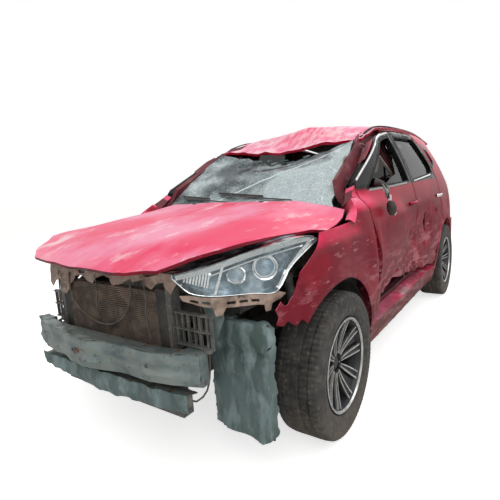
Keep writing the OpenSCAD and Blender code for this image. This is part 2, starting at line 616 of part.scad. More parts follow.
function screen_point(u, v) =
  let (
    y = cowl_y + 30 + (header_y - cowl_y - 34) * v,
    z = belt_z - 60 + seat_gap + (eave(header_y) - belt_z + 46) * (v + 0.18 * v * (1 - v)),
    x = u * (side_x(1, y, z) - frame_t - 46 - 14 - (door_t - frame_t + 20) * (1 - ramp(z, belt_z - 40, belt_z + 30))),
    sag = roof_crush * pow(max(0, 1 - u * u), 0.8) * ramp(v, 0.35, 1)
  )
  [x, y - 40 * (1 - u * u) * (1 - v) + 0.2 * sag, z - sag + 18 * (1 - u * u) * v];
module windscreen() {
  us = steps(-1, 1, 16);
  vs = steps(0, 0.955, 12);
  color([0.6, 0.75, 0.75]) as_mesh() shell(
    [for (u = us) [for (v = vs) screen_point(u, v) + [0, glass_t, 0]]],
    [for (u = us) [for (v = vs) screen_point(u, v)]]);
}

module fixed_glass() {
  color([0.1, 0.12, 0.12]) {
    pane(1, rear_window, pillar_y + 20, door_end + 60, -0.5);
    for (s = [-1, 1]) pane(s, quarter_window, door_end, door_end + 300, -0.5);
  }
}

// ---- cabin ----

module seat(x) {
  floor_top = sill_z + 50;
  w = 460;
  translate([x - w / 2, -60, 0]) {
    translate([w / 2 - 150, -160, floor_top + seat_gap]) cube([300, 420, 60 - seat_gap]);
    rotate([90, 0, 90]) linear_extrude(w) offset(r = 30, $fn = 24) offset(delta = -30)
      polygon([[-220, 340], [300, 340], [480, 900], [400, 930], [210, 520], [-220, 500]]);
    translate([w / 2 - 130, 0, 0]) rotate([90, 0, 90]) linear_extrude(260) offset(r = 25, $fn = 24) offset(delta = -25)
      polygon([[395, 905], [475, 880], [530, 1080], [455, 1090]]);
  }
}
module seats() {
  bench_y = kick_y - 60 - seat_gap;
  color([0.16, 0.15, 0.15]) {
    for (x = [-375, 375]) seat(x);
    difference() {
      translate([-545, bench_y, 0]) rotate([90, 0, 90]) linear_extrude(1090) polygon([
        [-330, sill_z + 50 + seat_gap], [30, sill_z + 50 + seat_gap], [30, boot_z + seat_gap], [90, boot_z + seat_gap],
        [250, 960], [230, 1000], [170, 1000], [-20, 590], [-60, 560], [-310, 560], [-330, 540]]);
      block(-tunnel_x - seat_gap, tunnel_x + seat_gap, 0, rear_y, 0, sill_z + 150 + seat_gap);
    }
  }
}

wheel_hub = [360, cowl_y + 500, 870];
wheel_lean = 24;
module dashboard() {
  color([0.13, 0.13, 0.13]) union() {
    rotate([90, 0, 90]) translate([0, 0, -620]) linear_extrude(1240) polygon([
      [cowl_y + 95 + seat_gap, 640], [cowl_y + 300, 640], [cowl_y + 360, 800], [cowl_y + 330, 960],
      [cowl_y + 220, 1010], [cowl_y + 95 + seat_gap, 990]]);
    // Steering column
    translate(wheel_hub) rotate([-90 + wheel_lean, 0, 0]) translate([0, 0, -230]) cylinder(r = 32, h = 190 - seat_gap);
  }
}
module steering_wheel() {
  color([0.08, 0.08, 0.08]) translate(wheel_hub) rotate([-90 + wheel_lean, 0, 0]) {
    rotate_extrude() translate([178, 0]) circle(r = 15);
    translate([0, 0, -40]) cylinder(r = 55, h = 45);
    for (a = [0, 90, 180]) rotate([0, 0, a]) translate([40, -14, -20]) cube([126, 28, 16]);
  }
}

// ---- running gear ----

king_low = [hub_x - 78, front_y, wheel_z - 129];
king_top = [560, front_y, 921];
ball_z = king_low[2] - 17;     // top of the lower arm's end

module front_subframe() {
  color([0.18, 0.17, 0.17]) {
    difference() {
      block(-rail_in - 5, rail_in + 5, front_y - 60, front_y + 360, sub_z, sub_z + 60);
      block(-280, 280, front_y + 40, front_y + 320, sub_z - 10, sub_z + 70);
    }
    // Lower arms out to the ball joints
    both_sides() {
      hull() {
        block(rail_in - 15, rail_in + 5, front_y - 40, front_y + 260, sub_z, sub_z + 30);
        block(630, 650, front_y - 24, front_y + 24, ball_z - 22, ball_z);
      }
      block(640, king_low[0], front_y - 24, front_y + 24, ball_z - 22, ball_z);
      translate([king_low[0], front_y, ball_z - 22]) cylinder(r = 24, h = 22);
      block(rail_in + 3, rail_in + 45, front_y + 160, front_y + 200, sub_z + 30, 440);
    }
    // Steering rack
    translate([-420, front_y + 262, sub_z + 105]) rotate([0, 90, 0]) cylinder(r = 26, h = 840);
    both_sides() block(330, 360, front_y + 247, front_y + 277, sub_z + 60, sub_z + 105);
  }
}

king_tilt = atan2(king_top[0] - king_low[0], king_top[2] - king_low[2]);
module along_king(place, up) { translate(place) rotate([0, king_tilt, 0]) translate([0, 0, up]) children(); }
module knuckle() {
  color("dimgray") {
    // Upright and hub flange that carries the wheel
    translate([hub_x - 135, front_y - 40, wheel_z - 109]) cube([35, 80, 250]);
    translate([hub_x - 130, front_y, wheel_z]) rotate([0, 90, 0]) cylinder(r = 62, h = 48);
    // Ball joint
    along_king(king_low, -14) cylinder(r = 15, h = 40);
    block(hub_x - 130, hub_x - 78, front_y - 18, front_y + 18, wheel_z - 120, wheel_z - 98);
    // Strut with its spring seat, up to the tower
    bar([hub_x - 148, front_y, wheel_z + 76], [king_top[0] + 3, front_y, 860], 24);
    block(hub_x - 170, hub_x - 105, front_y - 28, front_y + 28, wheel_z + 56, wheel_z + 126);
    along_king(king_top, -180) cylinder(r = 46, h = 165);
    along_king(king_top, -40) cylinder(r = 20, h = 40 - 4);
    // Steering arm
    block(hub_x - 150, hub_x - 110, front_y + 30, front_y + 140, wheel_z - 34, wheel_z - 9);
  }
}

module rear_axle() {
  color([0.2, 0.19, 0.19]) {
    block(-560, 560, rear_y - 230, rear_y - 150, wheel_z - 54, wheel_z + 6);
    both_sides() {
      translate([540, 0, 0]) rotate([90, 0, 90]) linear_extrude(45) polygon([
        [kick_y - 90, 205], [kick_y + 30, 205], [rear_y + 70, wheel_z - 44], [rear_y + 70, wheel_z + 26], [rear_y - 150, wheel_z + 26],
        [kick_y + 60, sill_z + 10], [kick_y + 10, sill_z + 20 - seat_gap], [kick_y - 90, sill_z + 20 - seat_gap]]);
      translate([585, rear_y, wheel_z]) rotate([0, 90, 0]) cylinder(r = 60, h = hub_x - 82 - 585);
      // Crushed spring up to the side member
      translate([465, rear_y - 20, wheel_z - 4]) cylinder(r = 34, h = boot_z - 106 - wheel_z - seat_gap);
      block(435, 545, rear_y - 50, rear_y + 10, wheel_z - 26, wheel_z - 3);
    }
  }
}

module exhaust() {
  color([0.45, 0.42, 0.38]) {
    // Downpipe from the engine, with its flange
    translate([0, front_y + 120 + seat_gap, 380]) rotate([-90, 0, 0]) cylinder(r = 32, h = 45);
    bar([0, front_y + 145, 372], [0, front_y + 300, 205], 24);
    translate([0, front_y + 290, 205]) rotate([-90, 0, 0]) cylinder(r = 24, h = wheelbase - 50);
    translate([0, front_y + 700, 205]) rotate([-90, 0, 0]) cylinder(r = 44, h = 320);
    translate([-260, rear_y + 380, 330]) rotate([0, 90, 0]) cylinder(r = 95, h = 520);
    bar([0, rear_y + 235, 205], [0, rear_y + 340, 290], 24);
    translate([-220, rear_y + 380, 265]) rotate([-90, 0, 0]) cylinder(r = 24, h = tail_y - rear_y - 460);
    block(-20, 20, rear_y + 370, rear_y + 390, 415, 440 - seat_gap);
    block(-100, 100, front_y + 800, front_y + 840, 235, sill_z + 20 - seat_gap);
  }
}

module fuel_tank() {
  top = 440 - seat_gap;
  color([0.12, 0.12, 0.12]) difference() {
    block(-420, -110, kick_y + seat_gap, rear_y - 240, 250, top - 20);
    translate([-420, kick_y, 250]) rotate([0, 90, 0]) cylinder(r = 30, h = 310);
  }
  color([0.12, 0.12, 0.12]) block(-400, -200, kick_y + 20, rear_y - 260, top - 20, top);
}

module liner(s, y, a0, a1, in) {
  r = arch_r * cos(102 / 14) - seat_gap;   // under the flats of the arch's edge
  translate([s > 0 ? in : -half_w + 36, 0, 0]) rotate([90, 0, 90]) linear_extrude(half_w - 36 - in)
    polygon(concat(arc(y, wheel_z, r, a0, a1, 16), arc(y, wheel_z, r - 4, a1, a0, 16)));
}
module arch_liners() {
  color([0.25, 0.28, 0.28]) {
    liner(1, front_y, 12, 100, half_w - 205);
    liner(-1, front_y, 12, 165, half_w - 205);
    for (s = [-1, 1]) liner(s, rear_y, 15, 165, half_w - 310);
    // Clips up to the upper rails
    both_sides() block(rail_out - 45, rail_out - 25, front_y + 10, front_y + 50, wheel_z + arch_r - 6, 820 - seat_gap);
    // Torn front half, hanging ahead of the left wheel
    translate([rail_in + 83, nose_y + 362, 195]) rotate([0, 0, -6]) cube([280, 8, 480]);
    block(rail_in + 35, rail_in + 95, nose_y + 356, nose_y + 400, 560 + seat_gap, 600);
  }
}

// The door's skin where it is flat between two rows of its mesh
function flat_x(s, y, z) =
  let (h = (rail_z - door_z + 10) / 14, k = floor((z - door_z + 5) / h), z0 = door_z - 5 + k * h, u = (z - z0) / h)
  side_x(s, y, z0) * (1 - u) + side_x(s, y, z0 + h) * u;
module mirror_stub(s) {
  y = door_y + 175;
  z = belt_z - 30;
  x = max(flat_x(s, y - 45, z), flat_x(s, y + 45, z)) + 2 * seat_gap;
  out = half_w + 58;     // outer face of both housings
  color([0.1, 0.1, 0.1]) {
    translate([s * (x + 17.5), y, z + 25]) block(-17.5, 17.5, -45, 45, -25, 25);
    // Broken stalk with the housing hanging from it, or the folded one
    if (s > 0) {
      block(x + 34, out - 20, y - 20, y + 20, z - 60, z + 30);
      block(out - 60, out, y - 60, y + 35, z - 165, z - 55);
      block(x + 20, x + 40, y - 20, y + 20, z + 5, z + 30);
    } else {
      block(-out + 20, -x - 30, y - 30, y + 30, z, z + 50);
      block(-out, -out + 55, y - 40, y + 115, z - 10, z + 120);
    }
  }
}

module tyre_at(x, y) {
  r = wheel_z;
  w = tyre_w / 2;
  seat_r = rim_d / 2 - 10;
  h = r - seat_r;
  color([0.12, 0.12, 0.12]) translate([x, y, wheel_z]) rotate([0, 90, 0]) rotate_extrude($fn = 96) polygon([
    [seat_r + seat_gap, -w + 18], [seat_r + 0.17 * h, -w + 6], [seat_r + 0.48 * h, -w], [r - 0.27 * h, -w + 8], [r - 0.08 * h, -w + 22], [r, -w + 42],
    [r, w - 42], [r - 0.08 * h, w - 22], [r - 0.27 * h, w - 8], [seat_r + 0.48 * h, w], [seat_r + 0.17 * h, w - 6], [seat_r + seat_gap, w - 18]]);
}

module rim_at(s, x, y) {
  w = tyre_w / 2 - 12;
  r = rim_d / 2 - 10;
  pitch = 360 / spokes;
  color("silver") translate([x, y, wheel_z]) rotate([0, s > 0 ? 90 : -90, 0]) {
    rotate_extrude($fn = 96) polygon([
      [r - 16, -w - 4], [r, -w - 4], [r, w + 4], [r - 10, w + 4], [r - 12, w - 20], [r - 22, 20], [r - 16, -w + 10]]);
    difference() {
      translate([0, 0, -82 + seat_gap]) cylinder(r = 72, h = 130);
      translate([0, 0, -100]) cylinder(r = 30, h = 120);
    }
    for (i = [0:spokes - 1]) for (k = [-1, 1]) rotate([0, 0, i * pitch]) linear_extrude(30, center = false)
      polygon([[50, k * 12 - 13], [50, k * 12 + 13], [r - 14, k * 44 + 11], [r - 14, k * 44 - 11]]);
  }
}

floor_pan();
side_frame(1);  // side_frame_left
side_frame(-1);  // side_frame_right
roof_panel();
engine_bay();
wing(1);  // wing_left
wing(-1);  // wing_right
rear_bumper();
bumper_beam();
front_carrier();
radiator();
engine();
headlamp();
tail_lamps();
windscreen();
fixed_glass();
seats();
dashboard();
front_subframe();
rear_axle();
exhaust();
fuel_tank();
arch_liners();
color(paint) door(1, front_door, front_window, door_y);  // door_front_left
color(paint) door(1, rear_door, rear_window, pillar_y + shut / 2);  // door_rear_left
mirror_stub(1);  // mirror_left
bonnet();
tailgate();
tailgate_glass();
color(paint) door(-1, front_door, front_window, door_y);  // door_front_right
color([0.1, 0.12, 0.12]) pane(-1, front_window, door_y, pillar_y, -0.5);  // glass_front_right
mirror_stub(-1);  // mirror_right
color(paint) door(-1, rear_door, rear_window, pillar_y + shut / 2);  // door_rear_right
color([0.1, 0.12, 0.12]) pane(-1, rear_window, pillar_y + 20, door_end + 60, -0.5);  // glass_rear_right
knuckle();  // knuckle_left
mirror([1, 0, 0]) knuckle();  // knuckle_right
tyre_at(hub_x, front_y);  // tyre_front_left
tyre_at(-hub_x, front_y);  // tyre_front_right
tyre_at(hub_x, rear_y);  // tyre_rear_left
tyre_at(-hub_x, rear_y);  // tyre_rear_right
rim_at(1, hub_x, front_y);  // rim_front_left
rim_at(-1, -hub_x, front_y);  // rim_front_right
rim_at(1, hub_x, rear_y);  // rim_rear_left
rim_at(-1, -hub_x, rear_y);  // rim_rear_right
steering_wheel();
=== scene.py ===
import math

import bpy
import numpy as np
from mathutils import Matrix, Vector, noise
from mathutils.geometry import delaunay_2d_cdt


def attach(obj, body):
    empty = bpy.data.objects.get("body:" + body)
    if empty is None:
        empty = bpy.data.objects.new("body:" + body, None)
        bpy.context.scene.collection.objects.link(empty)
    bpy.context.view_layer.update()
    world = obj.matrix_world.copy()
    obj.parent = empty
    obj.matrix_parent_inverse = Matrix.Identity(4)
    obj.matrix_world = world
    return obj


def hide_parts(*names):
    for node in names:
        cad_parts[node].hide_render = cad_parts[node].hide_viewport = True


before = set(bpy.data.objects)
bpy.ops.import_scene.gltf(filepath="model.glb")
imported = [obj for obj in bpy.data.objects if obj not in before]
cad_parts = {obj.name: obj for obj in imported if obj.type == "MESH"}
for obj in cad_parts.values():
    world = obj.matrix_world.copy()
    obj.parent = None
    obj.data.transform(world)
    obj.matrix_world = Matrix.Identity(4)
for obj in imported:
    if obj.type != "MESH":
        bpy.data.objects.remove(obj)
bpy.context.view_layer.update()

# sizes of the car in millimetres, the same as the part's
wheelbase, bodyLong, bodyWide, roofHigh = 2590, 4200, 1740, 1620
beltZ, noseZ, sillZ = 1110, 935, 230
tyreWide, track, archGap = 215, 1556, 66
doorThick, frameThick, glassThick, shut = 76, 45, 6, 11
roofCrush, doorDent, nosePush, beamDent = 95, 55, 110, 26
halfWide, noseY, tailY = bodyWide / 2, -bodyLong / 2, bodyLong / 2
sides = ((1, "left"), (-1, "right"))
frontY, rearY, wheelZ = -wheelbase / 2, wheelbase / 2, 344
archR, hubX = wheelZ + archGap, track / 2
cowlY = frontY + 375
headerY = cowlY + 670
doorY = cowlY + 120
pillarY = doorY + 1020
doorEnd = rearY - 165
gateY = tailY - 265
railZ, railX = roofHigh - 62, halfWide - 270
doorZ = sillZ + 140
gateTop = railZ - 70


# shape of the body, in millimetres

def curveAt(v, table):
    v = np.asarray(v, float)
    xs, ys = np.array(table, float).T
    last = len(xs) - 1
    slope = np.array([(ys[min(last, i + 1)] - ys[max(0, i - 1)]) / (xs[min(last, i + 1)] - xs[max(0, i - 1)])
            for i in range(last + 1)])
    i = np.clip(np.searchsorted(xs, v, side="right") - 1, 0, last - 1)
    h = xs[i + 1] - xs[i]
    u = np.clip((v - xs[i]) / h, 0, 1)
    return ((2 * u**3 - 3 * u**2 + 1) * ys[i] + (u**3 - 2 * u**2 + u) * slope[i] * h
        + (3 * u**2 - 2 * u**3) * ys[i + 1] + (u**3 - u**2) * slope[i + 1] * h)


def ramp(v, a, b):
    u = np.clip((np.asarray(v, float) - a) / (b - a), 0, 1)
    return u * u * (3 - 2 * u)


def bump(a, b, a0, b0, ra, rb):
    return np.exp(-((a - a0) / ra) ** 2 - ((b - b0) / rb) ** 2)


def rumple(p, size, seed=0):
    # smooth noise about -1..1 at each point, lumps of that size
    return np.array([noise.noise(Vector((q[0] / size + seed, q[1] / size + 3.7 * seed, q[2] / size)))
            for q in p]) * 1.6


def creased(p, size, seed=0):
    # folds with sharp ridges, 0 at the crease and negative away from it
    return -np.abs(rumple(p, size, seed))


planTable = [(noseY + 300, halfWide - 88), (frontY - 200, halfWide - 32), (frontY, halfWide - 6),
    (cowlY, halfWide - 6), (0, halfWide), (rearY - 100, halfWide - 2), (tailY - 400, halfWide - 24),
    (tailY - 250, halfWide - 58), (tailY - 150, halfWide - 108), (tailY - 90, halfWide - 180)]
tuckTable = [(sillZ - 30, 72), (sillZ + 70, 42), (sillZ + 220, 12), (650, 0), (850, 4), (beltZ - 130, 20),
    (beltZ, 52), (beltZ + 190, 125), (railZ - 78, 215), (railZ, 268), (railZ + 44, 340)]


def flare(y, z):
    d = np.minimum(np.hypot(y - frontY, z - wheelZ), np.hypot(y - rearY, z - wheelZ))
    return 16 * np.exp(-((d - archR - 15) / 60) ** 2)


def dentLeft(y, z):
    return doorDent * (0.95 * bump(y, z, pillarY - 60, 640, 330, 190)
        + 0.55 * bump(y, z, doorY + 330, 520, 260, 120) + 0.5 * bump(y, z, pillarY + 330, 760, 240, 130)
        - 0.35 * bump(y, z, doorY + 500, 960, 240, 70) - 0.4 * bump(y, z, doorY - 40, 700, 70, 200))


def sideX(s, y, z):
    # half width of the body side s (1 left, -1 right) at a place and a height
    y, z = np.asarray(y, float), np.asarray(z, float)
    lean = np.maximum(0, z - beltZ + 50) * 0.4
    x = (curveAt(y + lean * ramp(y, 0, rearY), planTable) - curveAt(z, tuckTable)
        - 58 * (1 - ramp(y, cowlY, cowlY + 700)) * ramp(z, beltZ - 90, beltZ + 20) + flare(y, z))
    return x - dentLeft(y, z) if s > 0 else x


bonnetTable = [(noseY - 30, noseZ - 16), (noseY + 60, noseZ + 14), (noseY + 250, noseZ + 62),
    (frontY - 250, noseZ + 105), (frontY + 100, noseZ + 143), (cowlY, noseZ + 172)]


def bonnetZ(x, y):
    x = np.abs(x)
    return (curveAt(y, bonnetTable) - 105 * (x / halfWide) ** 3.2 * ramp(y, noseY + 100, frontY)
        + 7 * np.exp(-((x - 470) / 60) ** 2) * ramp(y, noseY + 60, noseY + 500))


roofTable = [(headerY, roofHigh - 88), (headerY + 350, roofHigh - 22), (headerY + 900, roofHigh),
    (rearY - 50, roofHigh - 12), (gateY, roofHigh - 78)]


def roofZ(x, y):
    crush = roofCrush * (bump(x, y, -20, headerY, 470, 190) + 0.45 * bump(x, y, -330, headerY + 260, 180, 130)
        - 0.3 * bump(x, y, 60, headerY + 330, 260, 90))
    return curveAt(y, roofTable) - 44 * (np.abs(x) / railX) ** 2.4 - crush


gateTable = [(560, tailY - 52), (800, tailY - 42), (beltZ - 40, tailY - 75), (beltZ + 60, tailY - 100),
    (railZ - 30, gateY + 28)]


def gateFace(x, z):
    return curveAt(z, gateTable) - 95 * (np.abs(x) / halfWide) ** 3


def screenAt(u, v):
    # windscreen: u across from -1 to 1, v up from 0 to 1
    eaveZ = roofHigh - 88 - 44
    y = cowlY + 30 + (headerY - cowlY - 34) * v
    z = beltZ - 60 + 0.3 + (eaveZ - beltZ + 46) * (v + 0.18 * v * (1 - v))
    x = u * (sideX(1, y, z) - frameThick - 60 - (doorThick - frameThick + 20) * (1
            - ramp(z, beltZ - 40, beltZ + 30)))
    sag = roofCrush * np.maximum(0, 1 - u * u) ** 0.8 * ramp(v, 0.35, 1)
    return x, y - 40 * (1 - u * u) * (1 - v) + 0.2 * sag, z - sag + 18 * (1 - u * u) * v


lampX = [(0, halfWide - 400), (150, halfWide - 272), (320, halfWide - 152), (470, halfWide - 82),
    (630, halfWide - 57), (730, halfWide - 62)]
lampY = [(0, noseY + 125), (150, noseY + 195), (320, noseY + 315), (470, noseY + 445), (630, noseY + 600),
    (730, noseY + 700)]
lampTop = [(0, noseZ - 36), (150, noseZ - 8), (320, noseZ + 34), (470, noseZ + 52), (630, noseZ + 53),
    (730, noseZ + 27)]
lampLow = [(0, noseZ - 52), (80, noseZ - 118), (320, noseZ - 138), (425, noseZ - 144), (500, noseZ - 66),
    (630, noseZ - 10), (730, noseZ + 12)]


def lampAt(t, z, depth):
    # a point on the lamp's face, t along its path, and that deep behind it
    ex, ey = curveAt(t + 5, lampX) - curveAt(t - 5, lampX), curveAt(t + 5, lampY) - curveAt(t - 5, lampY)
    n = np.hypot(ex, ey)
    return curveAt(t, lampX) - ey / n * depth, curveAt(t, lampY) + ex / n * depth, z + 0 * np.asarray(t, float)


def beamY(x):
    return (noseY + 62 + 95 * (np.abs(x) / 565) ** 2.2 + beamDent * (np.exp(-((x - 180) / 110) ** 2)
            + 0.6 * np.exp(-((x + 250) / 60) ** 2) - 0.4 * np.exp(-((x + 60) / 70) ** 2)))


def steps(a, b, n):
    return [a + (b - a) * i / n for i in range(n + 1)]


def arc(cy, cz, r, a0, a1, n):
    return [(cy + r * math.cos(math.radians(a)), cz + r * math.sin(math.radians(a))) for a in steps(a0, a1, n)]


def head(y, down):
    return (y, float(curveAt(y, roofTable)) - 84 - down)


# making meshes

def offset(points, by):
    # outline with each side moved outwards by that much
    p = np.array(points, float)
    area = np.sum(p[:, 0] * np.roll(p[:, 1], -1) - np.roll(p[:, 0], -1) * p[:, 1])
    d = np.roll(p, -1, 0) - p
    n = np.stack([d[:, 1], -d[:, 0]], 1) / np.linalg.norm(d, axis=1)[:, None] * (1 if area > 0 else -1)
    m = np.roll(n, 1, 0)
    return p + by * (n + m) / (1 + np.sum(n * m, 1))[:, None].clip(0.35)


def inside(poly, pts):
    found = np.zeros(len(pts), bool)
    for (x1, y1), (x2, y2) in zip(poly, np.roll(poly, -1, 0)):
        crosses = (y1 > pts[:, 1]) != (y2 > pts[:, 1])
        found ^= crosses & (pts[:, 0] < (x2 - x1) * (pts[:, 1] - y1) / (y2 - y1 + 1e-12) + x1)
    return found


def within(loops, pts):
    # in the first loop and in none of the others
    return inside(loops[0], pts) & ~np.any([inside(l, pts) for l in loops[1:]] or [[False]], 0)


def resample(loop, step):
    out = []
    for a, b in zip(loop, np.roll(loop, -1, 0)):
        n = max(1, round(float(np.linalg.norm(b - a)) / step))
        out += [a + (b - a) * i / n for i in range(n)]
    return np.array(out)


def triangulate(outline, holes, step):
    loops = [resample(np.array(l, float), step) for l in [outline, *holes]]
    low, high = loops[0].min(0), loops[0].max(0)
    gx, gy = np.meshgrid(np.arange(low[0] + step / 2, high[0], step), np.arange(low[1] + step / 2, high[1], step))
    gx = gx + (np.arange(gx.shape[0]) % 2)[:, None] * step / 2
    grid = np.stack([gx.ravel(), gy.ravel()], 1)
    grid = grid[within(loops, grid)]
    edge = np.concatenate(loops)
    near = np.array([np.min(np.sum((edge - g) ** 2, 1)) > (0.55 * step) ** 2 for g in grid], bool)
    grid = grid[near]
    edges, base = [], 0
    for l in loops:
        edges += [(base + i, base + (i + 1) % len(l)) for i in range(len(l))]
        base += len(l)
    pts = np.concatenate([edge, grid])
    out = delaunay_2d_cdt([Vector(p) for p in pts], edges, [], 0, 1e-3)
    pts, tris = np.array(out[0]), np.array(out[2])
    return pts, tris[within(loops, pts[tris].mean(1))]


def normalsOf(p, tris):
    face = np.cross(p[tris[:, 1]] - p[tris[:, 0]], p[tris[:, 2]] - p[tris[:, 0]])
    n = np.zeros_like(p)
    for k in range(3):
        np.add.at(n, tris[:, k], face)
    return n / (np.linalg.norm(n, axis=1)[:, None] + 1e-9)


def skin(outline, lift, thick, step=22, holes=(), facing=(0, 0, 1), hem=2.0, dent=None):
    # sheet in the outline, lifted into space, with its edges rolled over by the hem
    flat, tris = triangulate(outline, holes, step)
    p = np.stack([c + 0 * flat[:, 0] for c in lift(flat[:, 0], flat[:, 1])], 1)
    n = normalsOf(p, tris)
    if np.sum(n @ np.array(facing, float)) < 0:
        tris, n = tris[:, ::-1], -n
    if dent is not None:
        p = p + n * dent(p, flat)[:, None]
        n = normalsOf(p, tris)
    pairs = np.concatenate([tris[:, [0, 1]], tris[:, [1, 2]], tris[:, [2, 0]]])
    keys = {(a, b) for a, b in pairs.tolist()}
    rim = [(a, b) for a, b in keys if (b, a) not in keys]
    back = p - n * (thick(flat)[:, None] if callable(thick) else thick)
    edge = np.unique(np.array(rim).ravel())
    p[edge] -= n[edge] * hem
    k = len(p)
    faces = tris.tolist() + (tris[:, ::-1] + k).tolist() + [[b, a, a + k, b + k] for a, b in rim]
    return np.concatenate([p, back]), faces


def sweep(path, profile, up=(0, 0, 1), closed=False, scale=None):
    # profile (aside, up) carried along a path of points
    p = np.array(path, float)
    t = np.gradient(p, axis=0) if not closed else np.roll(p, -1, 0) - np.roll(p, 1, 0)
    t /= np.linalg.norm(t, axis=1)[:, None]
    side = np.cross(t, np.array(up, float))
    side /= np.linalg.norm(side, axis=1)[:, None] + 1e-9
    top = np.cross(side, t)
    q = np.array(profile, float)
    size = np.ones(len(p)) if scale is None else np.array(scale, float)
    v = p[:, None] + size[:, None, None] * (side[:, None] * q[None, :, :1] + top[:, None] * q[None, :, 1:])
    m, n = len(q), len(p)
    f = [[i * m + j, i * m + (j + 1) % m, ((i + 1) % n) * m + (j + 1) % m, ((i + 1) % n) * m + j]
        for i in range(n if closed else n - 1) for j in range(m)]
    if not closed:
        f += [list(range(m))[::-1], [(n - 1) * m + j for j in range(m)]]
    return v.reshape(-1, 3), f


def ring(r, n=12, squash=1.0):
    return [(r * math.cos(2 * math.pi * i / n), squash * r * math.sin(2 * math.pi * i / n)) for i in range(n)]


def flatBar(back, low, front, high):
    # profile as tall as low behind and as high in front, each to both sides
    return [(-back, -low), (-back, low), (front, high), (front, -high)]


def ridge(wide, foot, narrow, high):
    # profile that narrows upwards
    return [(-wide, -foot), (-narrow, high), (narrow, high), (wide, -foot)]


def lathe(profile, n=48, axis=(0, 0, 0), closed=True):
    # profile (radius, along) turned about the Z axis
    q = np.array(profile, float)
    a = np.arange(n) * 2 * math.pi / n
    v = np.stack([np.outer(np.cos(a), q[:, 0]), np.outer(np.sin(a), q[:, 0]), np.outer(np.ones(n), q[:, 1])], 2)
    m = len(q)
    f = [[i * m + j, ((i + 1) % n) * m + j, ((i + 1) % n) * m + (j + 1) % m, i * m + (j + 1) % m] for i in range(n)
        for j in range(m if closed else m - 1)]
    return v.reshape(-1, 3) + np.array(axis, float), f


def box(x0, x1, y0, y1, z0, z1, taper=0.0):
    k = taper
    v = [(x0, y0, z0), (x1, y0, z0), (x1, y1, z0), (x0, y1, z0), (x0 + k, y0 + k, z1), (x1 - k, y0 + k, z1),
        (x1 - k, y1 - k, z1), (x0 + k, y1 - k, z1)]
    return np.array(v, float), [[3, 2, 1, 0], [4, 5, 6, 7], [0, 1, 5, 4], [1, 2, 6, 5], [2, 3, 7, 6], [3, 0, 4, 7]]


def shell(front, back, flip=False):
    # closed sheet between two grids of points
    k, m = front.shape[:2]
    n = k * m
    quads = [[i * m + j, i * m + j + 1, (i + 1) * m + j + 1, (i + 1) * m + j] for i in range(k - 1)
        for j in range(m - 1)]
    quads += [[q + n for q in f[::-1]] for f in quads]
    for a, b in [(i * m, i * m + m) for i in range(k - 1)]:
        quads += [[a, b, b + n, a + n], [b - 1, a + m - 1 + n, b + m - 1 + n, b + m - 1]]
    for a in range(m - 1):
        b = (k - 1) * m + a
        quads += [[a, a + n, a + 1 + n, a + 1], [b, b + 1, b + 1 + n, b + n]]
    return np.concatenate([front.reshape(-1, 3), back.reshape(-1, 3)]), [q[::-1] for q in quads] if flip else quads


def turned(part, place=(0, 0, 0), ex=(1, 0, 0), ey=(0, 1, 0), ez=(0, 0, 1)):
    # part put in place with its own axes along the given ones
    v, f = part
    m = np.array([ex, ey, ez], float)
    if np.linalg.det(m) < 0:
        f = [q[::-1] for q in f]
    return v @ m + np.array(place, float), f


def put(name, parts, material, body="body", stands=(), bevel=0.0, angle=38, second=None, pick=None):
    # one piece from its parts; pick gives each face its material from its centre in mm and its normal
    verts, faces, base = [], [], 0
    for v, f in parts:
        verts.append(v)
        faces += [[i + base for i in q] for q in f]
        base += len(v)
    v = np.concatenate(verts) * 0.001
    mesh = bpy.data.meshes.new(name)
    mesh.from_pydata(v.tolist(), [], faces)
    mesh.update()
    mesh.materials.append(material)
    if second:
        for other in second if isinstance(second, list) else [second]:
            mesh.materials.append(other)
        mid = np.array([p.center for p in mesh.polygons]) * 1000
        nor = np.array([p.normal for p in mesh.polygons])
        mesh.polygons.foreach_set("material_index", pick(mid, nor).astype(np.int32))
    mesh.shade_smooth()
    mesh.set_sharp_from_angle(angle=math.radians(angle))
    obj = bpy.data.objects.new(name, mesh)
    bpy.context.scene.collection.objects.link(obj)
    if bevel:
        mod = obj.modifiers.new("edge", "BEVEL")
        mod.width, mod.segments, mod.limit_method, mod.angle_limit = bevel * 0.001, 2, "ANGLE", math.radians(40)
        mod.harden_normals = False
    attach(obj, body)
    if stands:
        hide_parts(*stands)
    return obj


# materials

def linear(hexColour):
    c = [int(hexColour[i:i + 2], 16) / 255 for i in (1, 3, 5)]
    return [v / 12.92 if v <= 0.04045 else ((v + 0.055) / 1.055) ** 2.4 for v in c] + [1.0]


def addNode(tree, kind, links=None, **settings):
    node = tree.nodes.new("ShaderNode" + kind)
    for key, value in settings.items():
        setattr(node, key, value)
    for socket, value in (links or {}).items():
        if isinstance(value, bpy.types.Node):
            value = value.outputs[0]
        if isinstance(value, bpy.types.NodeSocket):
            tree.links.new(value, node.inputs[socket])
        else:
            node.inputs[socket].default_value = value
    return node


def coat(colour, size, over=0.5, soft=0.08, amount=1.0, **more):
    # patches of another colour, size in mm, where the noise is over that level
    return dict(colour=linear(colour), size=size, low=over - soft, high=over + soft, amount=amount, **more)


plain = (1, 1, 1)
nap = dict(topWearAndLight=0.45, steep=(0.62, 0.3), fade=(0.2, -0.1))  # where the coats on top, on the sides and low down end: chalk, dust and mud, with painted light on the tops and painted shade on the sides
fold = dict(slope=-0.44, high=1.185, wide=(0.012, 0.003), crushed=(1.78, 1.56), milky=(0.48, 0.68))


